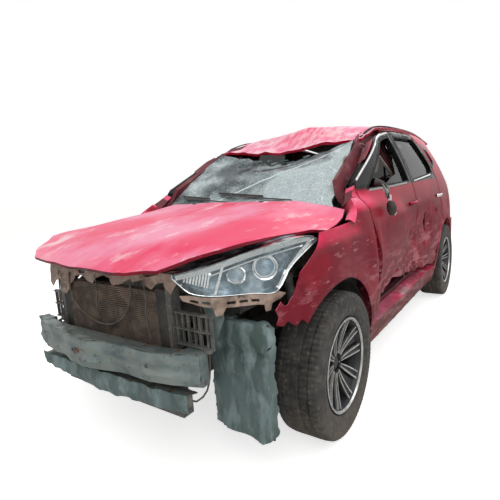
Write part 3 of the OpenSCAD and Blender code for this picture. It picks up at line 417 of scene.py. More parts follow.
def finish(name, base, rough, layers=(), bumps=(), shader=None, cracks=None):
    # layers: coats laid over the base; bumps: (size mm, height mm, stretch)
    mat = bpy.data.materials.new(name)
    mat.use_nodes = True
    tree = mat.node_tree
    tree.nodes.clear()
    where = addNode(tree, "TexCoord")
    up = addNode(tree, "SeparateXYZ", {0: where.outputs["Normal"]}).outputs[2]
    place = addNode(tree, "SeparateXYZ", {0: where.outputs["Object"]})
    where = where.outputs["Object"]
    colour, roughness, normal = linear(base), rough, None
    for k, layer in enumerate(layers):
        at = addNode(tree, "Mapping", {"Vector": where, "Scale": layer.get("stretch", plain),
                "Location": (1.7 * k, 0.9 * k, 0.4)})
        spots = addNode(tree, "TexNoise", {"Vector": at, "Scale": 1000 / layer["size"], "Detail": 5.0,
                "Roughness": layer.get("ragged", 0.6)})
        mask = addNode(tree, "MapRange", {0: spots, 1: layer["low"], 2: layer["high"], 3: 0.0, 4: layer["amount"]})
        limits = []
        if "up" in layer:
            limits.append((up, layer["up"], layer["up"] + nap["topWearAndLight"]))
        if "side" in layer:
            limits.append((up, *nap["steep"]))
        if "below" in layer:
            limits.append((place.outputs[2], *(layer["below"] * 0.001 + q for q in nap["fade"])))
        for value, a, b in limits:
            near = addNode(tree, "MapRange", {0: value, 1: a, 2: b})
            mask = addNode(tree, "Math", {0: mask, 1: near}, operation="MULTIPLY")
        colour = addNode(tree, "Mix", {0: mask, 6: colour, 7: layer["colour"]}, data_type="RGBA").outputs[2]
        if "rough" in layer:
            roughness = addNode(tree, "Mix", {0: mask, 2: roughness, 3: layer["rough"]})
    for size, high, *stretch in bumps:
        at = addNode(tree, "Mapping", {"Vector": where, "Scale": stretch[0] if stretch else plain})
        lumps = addNode(tree, "TexNoise", {"Vector": at, "Scale": 1000 / size, "Detail": 3.0})
        links = {"Height": lumps, "Distance": high * 0.001, "Strength": 1.0}
        normal = addNode(tree, "Bump", {**links, "Normal": normal} if normal else links)
    links = {"Base Color": colour, "Roughness": roughness, **(shader or {})}
    if cracks:
        # crazed laminated glass: bright lines between the shards and milky places where it is crushed
        white = None
        for size, wide, strong in cracks["nets"]:
            bent = addNode(tree, "TexNoise", {"Vector": where, "Scale": 2500 / size, "Detail": 2.0})
            at = addNode(tree, "Mix", {0: 0.02 * size / 60, 4: where, 5: bent.outputs[1]}, data_type="VECTOR")
            net = addNode(tree, "TexVoronoi", {"Vector": at.outputs[1], "Scale": 1000 / size},
                feature="DISTANCE_TO_EDGE")
            line = addNode(tree, "MapRange", {0: net, 1: wide, 2: 0.0, 3: 0.0, 4: strong})
            white = addNode(tree, "Math", {0: white, 1: line}, operation="MAXIMUM") if white else line
        cloud = addNode(tree, "TexNoise", {"Vector": where, "Scale": 1000 / cracks["milky"], "Detail": 4.0})
        # the pane has folded along a slanting line: crushed white below it, clearer above
        slant = addNode(tree, "Math", {0: place, 1: fold["slope"], 2: place.outputs[2]}, operation="MULTIPLY_ADD")
        below = addNode(tree, "Math", {0: slant, 1: cloud}, operation="ADD")
        below = addNode(tree, "MapRange", {0: below, 1: fold["crushed"][0], 2: fold["crushed"][1], 3: 0.0, 4: 0.62})
        crease = addNode(tree, "Math", {0: slant, 1: fold["high"]}, operation="SUBTRACT")
        crease = addNode(tree, "Math", {0: crease}, operation="ABSOLUTE")
        crease = addNode(tree, "MapRange", {0: crease, 1: fold["wide"][0], 2: fold["wide"][1], 3: 0.0, 4: 0.8})
        milk = addNode(tree, "MapRange", {0: cloud, 1: fold["milky"][0], 2: fold["milky"][1], 3: 0.0, 4: 0.75})
        for other in (below, crease):
            milk = addNode(tree, "Math", {0: milk, 1: other}, operation="MAXIMUM")
        white = addNode(tree, "Math", {0: white, 1: milk}, operation="ADD", use_clamp=True)
        links["Base Color"] = addNode(tree, "Mix", {0: white, 6: colour, 7: linear(cracks["colour"])},
            data_type="RGBA").outputs[2]
        links["Alpha"] = addNode(tree, "MapRange", {0: white, 1: 0.0, 2: 1.0, 3: cracks["clear"], 4: 0.97})
    if normal:
        links["Normal"] = normal
    look = addNode(tree, "BsdfPrincipled", links)
    addNode(tree, "OutputMaterial", {0: look})
    return mat


def enamelWith(name, pale, clouds):
    # two-layer car enamel, sprayed: crimson under clear lacquer, chalked on top, scuffed and muddy low down; a
    # brighter crimson over the upward faces is painted light, and a dark crimson over the side faces below the belt
    # is painted shade
    return finish(name, "#b00a2c", 0.38, [coat("#7e0a20", 380, amount=0.45, soft=0.15),
            # brighter crimson on the upward faces: painted light
            coat("#eb3163", 400, up=0.35, amount=1.0, soft=0.1, over=0.25), coat("#f3aac4", clouds, up=0.6,
                stretch=(1.2, 0.6, 1), over=pale - 0.03, soft=0.1, amount=0.9, rough=0.6, ragged=0.62),
            coat("#fbe3e4", clouds * 0.36, up=0.6, stretch=(1.5, 0.5, 1), over=pale + 0.07, soft=0.05, amount=0.85,
                rough=0.7, ragged=0.7), coat("#6b1323", 260, side=True, below=1060, stretch=(1, 0.6, 1), over=0.36,
                soft=0.15, amount=0.9, rough=0.5), coat("#ad707a", 70, side=True, below=700, stretch=(1, 0.3, 1),
                over=0.6, soft=0.05, amount=0.5, rough=0.7), coat("#c7979a", 26, side=True, stretch=(1, 0.22, 1),
                below=1000, over=0.66, soft=0.05, amount=0.65, rough=0.6, ragged=0.64),
            coat("#bd7a80", 48, side=True, stretch=(1, 0.22, 1), below=640, over=0.55, soft=0.04, amount=0.7,
                rough=0.7, ragged=0.62), coat("#5d5049", 120, below=420, over=0.42, soft=0.15, amount=0.6,
                rough=0.85)], [(160, 1.2), (14, 0.05)], {"Coat Weight": 0.06, "Coat Roughness": 0.15,
            "Specular IOR Level": 0.15})


enamel = enamelWith("crimson_enamel", 0.54, 520)
# on the crushed roof the enamel has chalked and its cracks show white
roofEnamel = enamelWith("crazed_crimson_enamel", 0.44, 230)
# the same enamel inside, its crimson painted darker as shade: thin, unpolished and dusty
innerEnamelShaded = finish("inner_enamel_painted_shade", "#6d1526", 0.6, [coat("#3c0f18", 160, amount=0.7, soft=0.2),
        coat("#8d6f68", 70, over=0.62, amount=0.6, rough=0.85)], [(60, 0.6)])
# pressed steel with a zinc primer: grey-green, streaked with rust and mud
steel = finish("primed_steel", "#869390", 0.5, [coat("#58686c", 130, amount=0.85, soft=0.12),
        coat("#8f938b", 46, stretch=(0.3, 1, 1), amount=0.55), coat("#6b4630", 60, over=0.64, soft=0.05, amount=0.9,
            rough=0.9), coat("#4a4740", 24, over=0.66, soft=0.04, amount=0.7, rough=0.8)], [(40, 0.6), (6, 0.15)],
    {"Metallic": 0.55})
# the same steel in black primer, under oil and dust
darkSteel = finish("black_primed_steel", "#24231f", 0.62, [coat("#4d453a", 90, amount=0.6, soft=0.15),
        coat("#6a4a33", 40, over=0.63, amount=0.8, rough=0.9)], [(30, 0.5)], {"Metallic": 0.2})
# sand-cast aluminium: dull, grainy, oily in the hollows
cast = finish("cast_aluminium", "#96948d", 0.55, [coat("#4a4843", 70, amount=0.7, soft=0.15),
        coat("#2f2a24", 30, over=0.62, amount=0.8)], [(5, 0.35)], {"Metallic": 0.75})
# glass-filled nylon, moulded: black gone grey and brown with dust
nylon = finish("black_nylon", "#1d1d1d", 0.55, [coat("#5a544c", 80, over=0.52, soft=0.12, amount=0.55, rough=0.85),
        coat("#807260", 22, over=0.66, amount=0.5, rough=0.9)], [(3, 0.12)])
# the same nylon in grey, bleached by the sun
greyNylon = finish("grey_nylon", "#6a6a68", 0.6, [coat("#3b3935", 60, amount=0.6, soft=0.12),
        coat("#8d8578", 26, over=0.6, amount=0.6)], [(4, 0.2)])
# the wheel shield is moulded soft and grey-green, streaked with dried mud
shieldPlastic = finish("muddy_shield_plastic", "#5e706f", 0.6,
    [coat("#42544f", 90, stretch=(1, 1, 0.3), amount=0.85, soft=0.1), coat("#8ea1a1", 60, stretch=(1, 1, 0.4),
            over=0.56, amount=0.65), coat("#8a7f70", 30, over=0.66, amount=0.5)], [(30, 1.0), (5, 0.2)])
# talc-filled polypropylene, moulded: dull tan, cracked and dusty
tanPlastic = finish("tan_polypropylene", "#b0988a", 0.65, [coat("#6c5a4f", 70, amount=0.8, soft=0.12),
        coat("#c3a897", 34, over=0.56, amount=0.7), coat("#2b221a", 18, over=0.68, amount=0.9)], [(12, 0.5)])
# rubber seals and trims, extruded: matt black
rubber = finish("black_seal_rubber", "#0f0f10", 0.65, [coat("#2a2725", 60, amount=0.4)], [(5, 0.1)],
    {"Specular IOR Level": 0.2})
# vulcanised tyre rubber, dusty grey on the sidewall
tyreRubber = finish("tyre_rubber", "#232222", 0.8, [coat("#4a4743", 70, amount=0.75, soft=0.15),
        coat("#6c655c", 24, over=0.6, amount=0.5), coat("#6e6457", 90, below=120, over=0.4, amount=0.5)],
    [(4, 0.2)])
# diamond-turned aluminium under lacquer, and the dark painted hollows between
alloy = finish("machined_aluminium", "#c9cac8", 0.28, [coat("#8f8f8c", 40, amount=0.6, soft=0.12),
        coat("#77706a", 18, over=0.62, amount=0.7, rough=0.6)], [(2, 0.03)], {"Metallic": 0.9})
darkAlloy = finish("anthracite_lacquer", "#26272a", 0.42, [coat("#4a4845", 50, over=0.55, amount=0.7, rough=0.8)],
    [(8, 0.1)], {"Metallic": 0.3})
# grey cast iron, turned bright where the pads ran and rusting again
iron = finish("brake_iron", "#6b6763", 0.45, [coat("#6c4026", 40, amount=0.8), coat("#3a2f28", 16, amount=0.5)],
    [(4, 0.1)], {"Metallic": 0.8})
# vacuum-plated chrome on plastic: mirror bright, pitted grey in places
chrome = finish("bright_chrome", "#f0f1f0", 0.1, [coat("#a9a59d", 40, over=0.62, amount=0.5, rough=0.4)],
    [(30, 0.15)], {"Metallic": 1.0})
# brazed aluminium core of the radiator, under road dirt
core = finish("dirty_radiator_core", "#74685e", 0.75, [coat("#9a8474", 160, amount=0.8, soft=0.15),
        coat("#4b443e", 60, amount=0.6)], [(2.4, 0.5, (0.2, 1, 1))], {"Metallic": 0.3})
# tempered side glass, tinted green: mostly dark with a clear reflection
tinted = finish("tinted_glass", "#060a0a", 0.04, [coat("#3a403d", 160, over=0.58, soft=0.15, amount=0.2)], (),
    {"Alpha": 0.76, "IOR": 1.52, "Specular IOR Level": 0.12})
# gloss black film round the side windows
blackFilm = finish("gloss_black_film", "#09090a", 0.3, [coat("#2f2b28", 110, over=0.58, amount=0.4, rough=0.7)],
    [(60, 0.3)], {"Specular IOR Level": 0.15})
# laminated windscreen glass, crazed all over and milky where it is crushed
crazed = finish("crazed_laminated_glass", "#35494c", 0.12, (), [(30, 0.6)],
    {"IOR": 1.52, "Specular IOR Level": 0.3}, cracks=dict(nets=[(120, 0.012, 0.5), (30, 0.03, 0.42),
            (11, 0.06, 0.3)], milky=340, colour="#dcebec", clear=0.38))
# clear polycarbonate lamp cover, moulded and hard-coated: thin bright reflections, dust in patches
clearLens = finish("clear_polycarbonate", "#a9bcc4", 0.04, [coat("#b8b2a8", 60, over=0.62, amount=0.5, rough=0.4)],
    (), {"Alpha": 0.12, "IOR": 1.58, "Specular IOR Level": 0.6})
# metallised reflector, moulded and smoked: blue-grey, with bright patches painted on as reflections
reflectorPaintedGlints = finish("smoked_reflector_painted_glints", "#5f7888", 0.3, [coat("#c2d0d7", 26, stretch=(0.4, 0.4, 1), amount=0.75,
            soft=0.06), coat("#2c3b45", 60, amount=0.6)], [(14, 0.6)], {"Metallic": 0.6})
# moulded red polycarbonate, fluted inside
redLens = finish("red_polycarbonate", "#5c0408", 0.08, [coat("#2e0306", 16, stretch=(1, 1, 0.05), amount=0.6)],
    [(8, 0.3, (0.1, 0.1, 1))], {"Coat Weight": 0.6})
# the projector's thick lens, with bright patches painted on as reflections, and the white plastic of lamps, bottle
# and plates
lampEyePaintedGlints = finish("projector_glass_painted_glints", "#5f7f92", 0.08, [coat("#dfe9ee", 40, amount=0.7, soft=0.2)], (),
    {"Coat Weight": 0.8})
lampWhite = finish("white_lamp_plastic", "#d8d6d0", 0.25, [coat("#9a968e", 30, amount=0.5)], (),
    {"Coat Weight": 0.4})
# woven seat cloth, a dark grey twill: weave drawn at 4 mm so that it shows
seatCloth = finish("grey_twill", "#34353a", 0.85, [coat("#56575d", 4, stretch=(1, 1, 0.25), amount=0.6),
        coat("#8c867d", 120, over=0.56, amount=0.5)], [(4, 0.5), (60, 1.5)], {"Sheen Weight": 0.35})
# grained vinyl over foam, embossed: black gone grey with dust on top
leather = finish("grained_vinyl", "#1a1918", 0.55, [coat("#57524b", 140, up=0.1, over=0.45, soft=0.15, amount=0.6,
            rough=0.85)], [(5, 0.3)])
# needled felt: pale, matt, stained
headliner = finish("pale_headliner_felt", "#b9b3a8", 0.95, [coat("#8d877c", 130, amount=0.6)], [(5, 0.4)])
# extruded PVC over copper, dusty brown-grey
cable = finish("pvc_cable", "#6b6259", 0.55, [coat("#2c2825", 40, amount=0.6)], [(3, 0.1)])
# aluminised steel pipe, rusted through its coat
rustPipe = finish("rusty_exhaust_steel", "#6b5443", 0.6, [coat("#8a5a38", 40, amount=0.8),
        coat("#3a332d", 22, amount=0.6)], [(8, 0.3)], {"Metallic": 0.6})
print("materials made")


# camera, light and floor
view = dict(place=(1.565, -2.998, 1.215), yaw=35.16, pitch=9.42, roll=-3.82, lens=29.35)


def aim(yaw, pitch, roll):
    y, p, q = (math.radians(v) for v in (yaw, pitch, roll))
    fw = Vector((-math.sin(y) * math.cos(p), math.cos(y) * math.cos(p), -math.sin(p)))
    r = fw.cross(Vector((0, 0, 1))).normalized()
    u = r.cross(fw)
    right, top = math.cos(q) * r + math.sin(q) * u, -math.sin(q) * r + math.cos(q) * u
    return right, top, fw


cameraData = bpy.data.cameras.new("camera")
cameraData.lens, cameraData.sensor_width = view["lens"], 36
cameraData.clip_start, cameraData.clip_end = 0.05, 60
camera = bpy.data.objects.new("camera", cameraData)
right, top, fw = aim(view["yaw"], view["pitch"], view["roll"])
camera.matrix_world = Matrix(((right[0], top[0], -fw[0], view["place"][0]), (right[1], top[1], -fw[1],
            view["place"][1]), (right[2], top[2], -fw[2], view["place"][2]), (0, 0, 0, 1)))
bpy.context.scene.collection.objects.link(camera)
bpy.context.scene.camera = camera
bpy.context.scene.view_settings.view_transform = "Standard"

lamps = [dict(name="sky", place=(1.0, -1.0, 5.2), size=6.0, power=150), dict(name="front", place=(3.2, -4.6, 3.4),
        size=3.0, power=70), dict(name="left", place=(5.2, 0.8, 2.6), size=3.0, power=45),
    dict(name="right", place=(-5.0, -1.5, 3.0), size=3.0, power=40), dict(name="back", place=(-1.0, 5.6, 3.4),
        size=3.5, power=60)]
for lamp in lamps:
    light = bpy.data.lights.new(lamp["name"], "AREA")
    light.energy, light.size = lamp["power"], lamp["size"]
    obj = bpy.data.objects.new(lamp["name"], light)
    obj.location = lamp["place"]
    obj.rotation_euler = (Vector((0, 0, 0.6)) - Vector(lamp["place"])).to_track_quat("-Z", "Y").to_euler()
    bpy.context.scene.collection.objects.link(obj)

world = bpy.data.worlds.new("studio")
bpy.context.scene.world = world
world.use_nodes = True
tree = world.node_tree
tree.nodes.clear()
path = addNode(tree, "LightPath")
seen = addNode(tree, "Math", {0: path.outputs["Is Camera Ray"], 1: path.outputs["Is Glossy Ray"]},
    operation="MAXIMUM")
seen = addNode(tree, "Math", {0: seen, 1: path.outputs["Is Transmission Ray"]}, operation="MAXIMUM")
level = addNode(tree, "MapRange", {0: seen, 3: 0.3, 4: 1.0})
sky = addNode(tree, "Background", {"Color": (1, 1, 1, 1), "Strength": level})
addNode(tree, "OutputWorld", {0: sky})

floorMesh = bpy.data.meshes.new("studio_floor")
floorMesh.from_pydata([(-60, -60, 0), (60, -60, 0), (60, 60, 0), (-60, 60, 0)], [], [(0, 1, 2, 3)])
paleFloor = finish("pale_floor", "#eeeeec", 0.9, [coat("#e6e6e4", 900, amount=0.5, soft=0.2)])
# the camera alone sees the floor a little brighter, so that it meets the white background
ray = addNode(paleFloor.node_tree, "LightPath")
glow = addNode(paleFloor.node_tree, "Math", {0: ray.outputs["Is Camera Ray"], 1: 0.68}, operation="MULTIPLY")
shade = next(q for q in paleFloor.node_tree.nodes if q.type == "BSDF_PRINCIPLED")
shade.inputs["Emission Color"].default_value = (1, 1, 1, 1)
paleFloor.node_tree.links.new(glow.outputs[0], shade.inputs["Emission Strength"])
floorMesh.materials.append(paleFloor)
floor = bpy.data.objects.new("studio_floor", floorMesh)
bpy.context.scene.collection.objects.link(floor)
print("camera, light and floor placed")


# outlines of the panels, along the car and up
frontDoor = [(doorY, doorZ), (pillarY - shut / 2, doorZ),
    *[head(y, 0) for y in steps(pillarY - shut / 2, headerY + 70, 5)], (doorY + 40, beltZ + 70),
    (doorY, beltZ - 20)]
rearArc = arc(rearY, wheelZ, archR + 55, 176, 113, 8)
rearDoor = [(pillarY + shut / 2, doorZ), *rearArc, (doorEnd, beltZ - 90), (doorEnd + 25, beltZ + 130),
    (doorEnd - 60, railZ - 120), *[head(y, 0) for y in steps(doorEnd - 190, pillarY + shut / 2, 6)]]
bothDoors = [(doorY, doorZ), *rearArc, (doorEnd, beltZ - 90), (doorEnd + 25, beltZ + 130),
    (doorEnd - 60, railZ - 120), *[head(y, 0) for y in steps(doorEnd - 190, headerY + 70, 11)],
    (doorY + 40, beltZ + 70), (doorY, beltZ - 20)]
frontWindow = [(doorY + 165, beltZ + 28), (pillarY - 70, beltZ + 42),
    *[head(y, 45) for y in steps(pillarY - 70, headerY + 130, 4)]]
rearWindow = [(pillarY + 62, beltZ + 46), (doorEnd - 95, beltZ + 86), (doorEnd - 45, beltZ + 140),
    *[head(y, 45) for y in steps(doorEnd - 205, pillarY + 62, 4)]]
quarterWindow = [(doorEnd + 95, beltZ + 140), (doorEnd + 230, beltZ + 190), (doorEnd + 180, beltZ + 290),
    (doorEnd + 50, beltZ + 310)]
wing = [*arc(frontY, wheelZ, archR, 130, 4, 26), (-831, 340), (-811, 480), (-811, 1098), (-908, 1098), (-1040, 988),
    (-1385, 982), (-1425, 950), (-1595, 850), (-1640, 770)]
wingLeft = [*wing, (-1668, 752), (-1692, 735), (-1718, 760), (-1752, 735), (-1735, 704), (-1752, 676), (-1716, 662),
    (-1690, 676), (-1652, 646), (-1618, 664), (-1586, 636)]
wingRight = [*wing, (-1650, 700), (-1632, 640), (-1600, 622)]
tailLamp = [(1810, 900), (2008, 840), (2008, 1040), (1850, 1030)]


def sideLift(s, off=0.0, shoulder=0.0):
    def lift(y, z):
        roll = shoulder * ramp(z, 905, 990) * (1 - ramp(y, -1040, -900))
        return s * (sideX(s, y, z) - off - roll), y, z
    return lift


def onSide(s, line, out):
    # path on the body side through the points along and up, that far out of it
    return np.stack([s * (sideX(s, line[:, 0], line[:, 1]) + out), line[:, 0], line[:, 1]], 1)


def crumple(s, amount, size, seed):
    # folds where the side has been hit, fading out away from the dent
    def dent(p, flat):
        hit = np.clip(dentLeft(flat[:, 0], flat[:, 1]) / 26, 0, 1) if s > 0 else 0.0
        return amount * hit * creased(p, size, seed) + 0.8 * rumple(p, 260, seed + 2) * min(1, amount)
    return dent


# bonnet
bonnet = dict(skin=16, wrinkle=5, step=26)
left = [(508, -2066), (570, -1965), (648, -1880), (695, -1730), (734, -1520), (758, -1375), (808, -1310),
    (804, -1195), (786, -1075), (742, -936)]
mirrored = [(-x * (1 - 0.1 * (1 - float(ramp(y, -2050, -1480)))),
        y + nosePush * (1 - float(ramp(y, noseY, frontY)))) for x, y in left]
rear = [(x, -936 - 30 * (1 - (x / 600) ** 2)) for x in steps(600, -600, 10)]
lip = [(-330, -2046), (-200, -2066), (0, -2088), (200, -2094), (360, -2092)]
bonnetEdge = left + rear + mirrored[::-1] + lip


def bonnetDent(p, flat):
    x, y = flat[:, 0], flat[:, 1]
    front = 1 - ramp(y, -2080, -1700)
    return (bonnet["wrinkle"] * (0.6 * rumple(p, 330, 4) + 1.4 * front * creased(p, 190, 2))
        - 7 * bump(x, y, 470, -1960, 130, 60) - 10 * bump(x, y, -420, -1900, 120, 90)
        - 5 * bump(x, y, 120, -1560, 240, 70))


top = skin(bonnetEdge, lambda x, y: (x, y, bonnetZ(x, y)), bonnet["skin"], bonnet["step"], hem=3, dent=bonnetDent)
underRibs = []
for x0, y0, x1, y1 in [(-560, -1150, 560, -1150), (-520, -1420, 520, -1420), (-420, -1760, 420, -1760),
        (-520, -1150, -330, -1900), (520, -1150, 330, -1900)]:
    line = zip(steps(x0, x1, 14), steps(y0, y1, 14))
    underRibs.append(sweep([(x, y, bonnetZ(x, y) - bonnet["skin"] - 9) for x, y in line],
            [(-32, 10), (-20, -10), (20, -10), (32, 10)]))
put("bonnet_skin", [top], enamel, "bonnet", ["bonnet"], second=innerEnamelShaded,
    pick=lambda c, n: n[:, 2] < -0.3)
put("bonnet_inner_ribs", underRibs, innerEnamelShaded, "bonnet")
jets = [box(x - 14, x + 14, -1010, -990, bonnetZ(x, -1000) - 2, bonnetZ(x, -1000) + 6, 4) for x in (-260, 260)]
put("washer_jets", jets, nylon, "bonnet", bevel=1)

# wings, body sides, roof
put("wing_skin_left", [skin(wingLeft, sideLift(1, 0, 30), 5, 18, facing=(1, 0, 0), hem=3,
            dent=lambda p, f: 1.5 * rumple(p, 240, 3) + 14 * (1 - ramp(f[:, 0], -1740, -1560)) * creased(p, 70, 5)
            - 10 * bump(f[:, 0], f[:, 1], -1120, 800, 150, 120))], enamel, "body", ["wing_left"])
put("wing_skin_right", [skin(wingRight, sideLift(-1, 0, 30), 5, 22, facing=(-1, 0, 0), hem=3,
            dent=lambda p, f: 1.2 * rumple(p, 260, 8))], enamel, "body", ["wing_right"])
for s, name in sides:
    roofEdge = [(y, float(roofZ(s * railX, y)) - 26.5) for y in steps(gateY - 28, headerY, 22)]
    side = [(doorY - 60, sillZ), *arc(rearY, wheelZ, archR, 196, -8, 30), (1770, 345), (1770, 700), (2000, 715),
        (2006, 1048), (1950, 1200), (gateY + 8, gateTop - 20), *roofEdge,
        (headerY - 90, float(roofZ(s * railX, headerY)) - 60), (-886, 1101), (-860, 1101)]
    opening = offset(bothDoors, shut)
    outer = skin(side, sideLift(s), lambda f: np.where(f[:, 1] > beltZ, 56.0, 86.0), 26, [opening, quarterWindow],
        (s, 0, 0), 2.5, dent=crumple(s, 5 if s > 0 else 0.3, 120, 9))
    holes = [offset(d, -45) for d in (frontDoor, rearDoor)]
    inner = skin(offset(bothDoors, 30), sideLift(s, doorThick + 14), 30, 40, holes, (s, 0, 0), 2)
    put("side_skin_" + name, [outer], enamel, "body", ["side_frame_" + name], second=innerEnamelShaded,
        pick=lambda c, n, s=s: n[:, 0] * s < -0.35)
    film = [(doorEnd + 42, beltZ + 108), (doorEnd + 160, beltZ + 142), (doorEnd + 268, beltZ + 180),
        (doorEnd + 246, beltZ + 250), (doorEnd + 196, beltZ + 322), (doorEnd + 60, beltZ + 344),
        (doorEnd - 22, beltZ + 352), (doorEnd + 18, beltZ + 250)]
    put("quarter_film_" + name, [skin(film, sideLift(s, -1.2), 3, 22, [quarterWindow], (s, 0, 0), 0.8)], blackFilm)
    over = arc(rearY, wheelZ, archR + 16, 12, 168, 36)
    inmost = [(s * 600, rearY + 0.3 * (y - rearY), wheelZ + 110 + 0.2 * (z - wheelZ - 110)) for y, z in over]
    house = np.array([inmost] + [[(s * x, y, z) for y, z in over] for x in (600, 640, 700, 770)])
    put("rear_wheelhouse_" + name, [shell(house, house + np.array([0, 0, 6]), s > 0)], innerEnamelShaded, "body")
    put("door_surround_" + name, [inner], innerEnamelShaded, "body")
    for k, door in enumerate((frontDoor, rearDoor)):
        path = onSide(s, resample(offset(door, -42), 45), -doorThick - 12)
        put("door_seal_%s_%d" % (name, k + 1), [sweep(path, ring(6, 8), (1, 0, 0), True)], rubber)

roof = dict(sheet=20, step=24, fold=22, crease=7, ripple=2)
roofOut = [(-600, headerY), (-300, headerY - 8), (0, headerY - 10), (300, headerY - 8), (600, headerY),
    (600, gateY - 29), (560, gateY - 14), (-560, gateY - 14), (-600, gateY - 29)]


def roofDent(p, flat):
    near = np.exp(-((flat[:, 1] - headerY) / 420) ** 2)
    return (roof["fold"] * near * creased(p, 260, 7) + roof["crease"] * near * creased(p, 110, 3)
        + roof["ripple"] * rumple(p, 300, 5))


put("roof_skin", [skin(roofOut, lambda x, y: (x, y, roofZ(x, y)), roof["sheet"], roof["step"], hem=3,
            dent=roofDent)], roofEnamel, "body", ["roof_panel"], second=headliner,
    pick=lambda c, n: n[:, 2] < -0.4)
for s, side in sides:
    line = [(s * 583, y, roofZ(s * 583, y) + 2 - (10 if y < headerY + 90 else 0))
        for y in steps(headerY + 25, gateY - 60, 40)]
    put("roof_moulding_" + side, [sweep(line, ridge(8, 4, 6, 3))], rubber)
# cheeks that close the body between the bonnet's rear corners and the windscreen pillars
bonnetSide = [(-1075, 798), (-1000, 776), (-936, 754), (-900, 726), (-856, 690)]
for s, side in sides:
    low, high = [], []
    for y in steps(-1062, -856, 22):
        x = float(np.interp(y, *np.array(bonnetSide, float).T))
        low.append((s * x, y, min(float(bonnetZ(x, y)) - 16, 1062)))
        z = float(np.interp(y, [-1040, -908, -856], [986, 1097, 1100]))
        high.append((s * (float(sideX(s, y, z)) - 5), y, z - 1))
    low, high = np.array(low), np.array(high)
    cheek = np.array([low + (high - low) * t + np.array([0, 0, 9 * math.sin(math.pi * t)]) for t in steps(0, 1, 4)])
    put("scuttle_cheek_" + side, [shell(cheek, cheek - np.array([0, 0, 5]), s > 0)], enamel, "body")
print("outer panels made")


# windscreen, cowl and side glass
screen = dict(glass=glassThick, across=700, up=760)


def screenLift(back=0.0):
    def lift(a, b):
        x, y, z = screenAt(a / screen["across"], b / screen["up"])
        return x, y + back, z - 0.6 * back
    return lift


tornTop = [(-690, 722), (-560, 726), (-470, 700), (-380, 726), (-300, 690), (-210, 640), (-150, 668), (-90, 600),
    (-20, 566), (40, 612), (90, 560), (170, 596), (230, 660), (310, 632), (390, 702), (480, 690), (560, 726),
    (690, 722)]
glassEdge = [(-695, 4), (695, 4)] + tornTop[::-1]
put("windscreen_glass", [skin(glassEdge, screenLift(), screen["glass"], 20, facing=(0, -1, 0), hem=0.5,
            dent=lambda p, f: 5 * rumple(p, 95, 6) - 16 * bump(f[:, 0], f[:, 1], 60, 520, 260, 160)
            - 9 * bump(f[:, 0], f[:, 1], -330, 420, 140, 140) + 4 * creased(p, 60, 2))], crazed, "body",
    ["windscreen"])
# shards left hanging in the interlayer along the torn edge
shards = []
for k, (a, b, w, h) in enumerate([(-250, 700, 60, 70), (-40, 650, 46, 60), (120, 640, 70, 54), (260, 705, 52, 50),
            (-130, 706, 40, 40), (20, 700, 60, 34)]):
    shards.append(skin([(a - w, b), (a - 6, b - h), (a + w * 0.8, b - h * 0.3), (a + w * 0.3, b + h * 0.25)],
            screenLift(8 + 5 * (k % 3)), 4, 18, facing=(0, -1, 0), hem=0.4))
put("windscreen_shards", shards, crazed, "body")
frit = [skin(band, screenLift(7.0), 2, 24, facing=(0, -1, 0), hem=0.3)
    for band in ([(-700, 0), (700, 0), (700, 34), (-700, 34)], [(-700, 0), (-668, 0), (-668, 724), (-700, 724)],
        [(668, 0), (700, 0), (700, 724), (668, 724)])]
put("windscreen_border", frit, rubber)
cowl = skin([(-640, -905), (640, -905), (690, -868), (600, -840), (-600, -840), (-690, -868)],
    lambda x, y: (x, y - 34 + 40 * (np.abs(x) / 690) ** 2, 1046 - 18 * (np.abs(x) / 690) ** 2 + 5 * np.sin(x / 26)),
    6, 16)
put("cowl_cover", [cowl], nylon)
for k, (x0, x1, vEnd) in enumerate([(430, -190, 0.09), (-90, -560, 0.07)]):
    arm, blade = [], []
    for t in steps(0, 1, 12):
        a = x0 + (x1 - x0) * t
        x, y, z = screenAt(a / screen["across"], 0.075 + vEnd * t)
        arm.append((x, y - 9, z + 8))
        if t > 0.25:
            blade.append((x - 26, y + 6, z + 22))
    put("wiper_%d" % (k + 1), [sweep(arm, ridge(7, 3, 5, 4)), sweep(blade, ridge(4, 7, 3, 5))], nylon)


def pane(name, outline, s, depth, body, stands=()):
    put(name, [skin(offset(outline, 12), sideLift(s, depth), glassThick, 45, facing=(s, 0, 0), hem=0.5)], tinted,
        body, stands)


for s, side in sides:
    pane("quarter_glass_" + side, quarterWindow, s, 12, "body", ["fixed_glass"] if s > 0 else ())
pane("door_glass_rear_left", rearWindow, 1, 22, "body")
# the front left window is smashed: only its rear lower corner is left
brokenPane = [(pillarY - 70, beltZ + 42), head(pillarY - 70, 45), head(pillarY - 110, 52),
    (pillarY - 120, beltZ + 330), (pillarY - 96, beltZ + 250), (pillarY - 190, beltZ + 190),
    (pillarY - 260, beltZ + 96), (pillarY - 420, beltZ + 70), (pillarY - 560, beltZ + 34)]
put("door_glass_front_left", [skin(brokenPane, sideLift(1, 22), glassThick, 40, facing=(1, 0, 0), hem=0.5)], tinted,
    "body")
pane("door_glass_front_right", frontWindow, -1, 22, "door_front_right", ["glass_front_right"])
pane("door_glass_rear_right", rearWindow, -1, 22, "door_rear_right", ["glass_rear_right"])

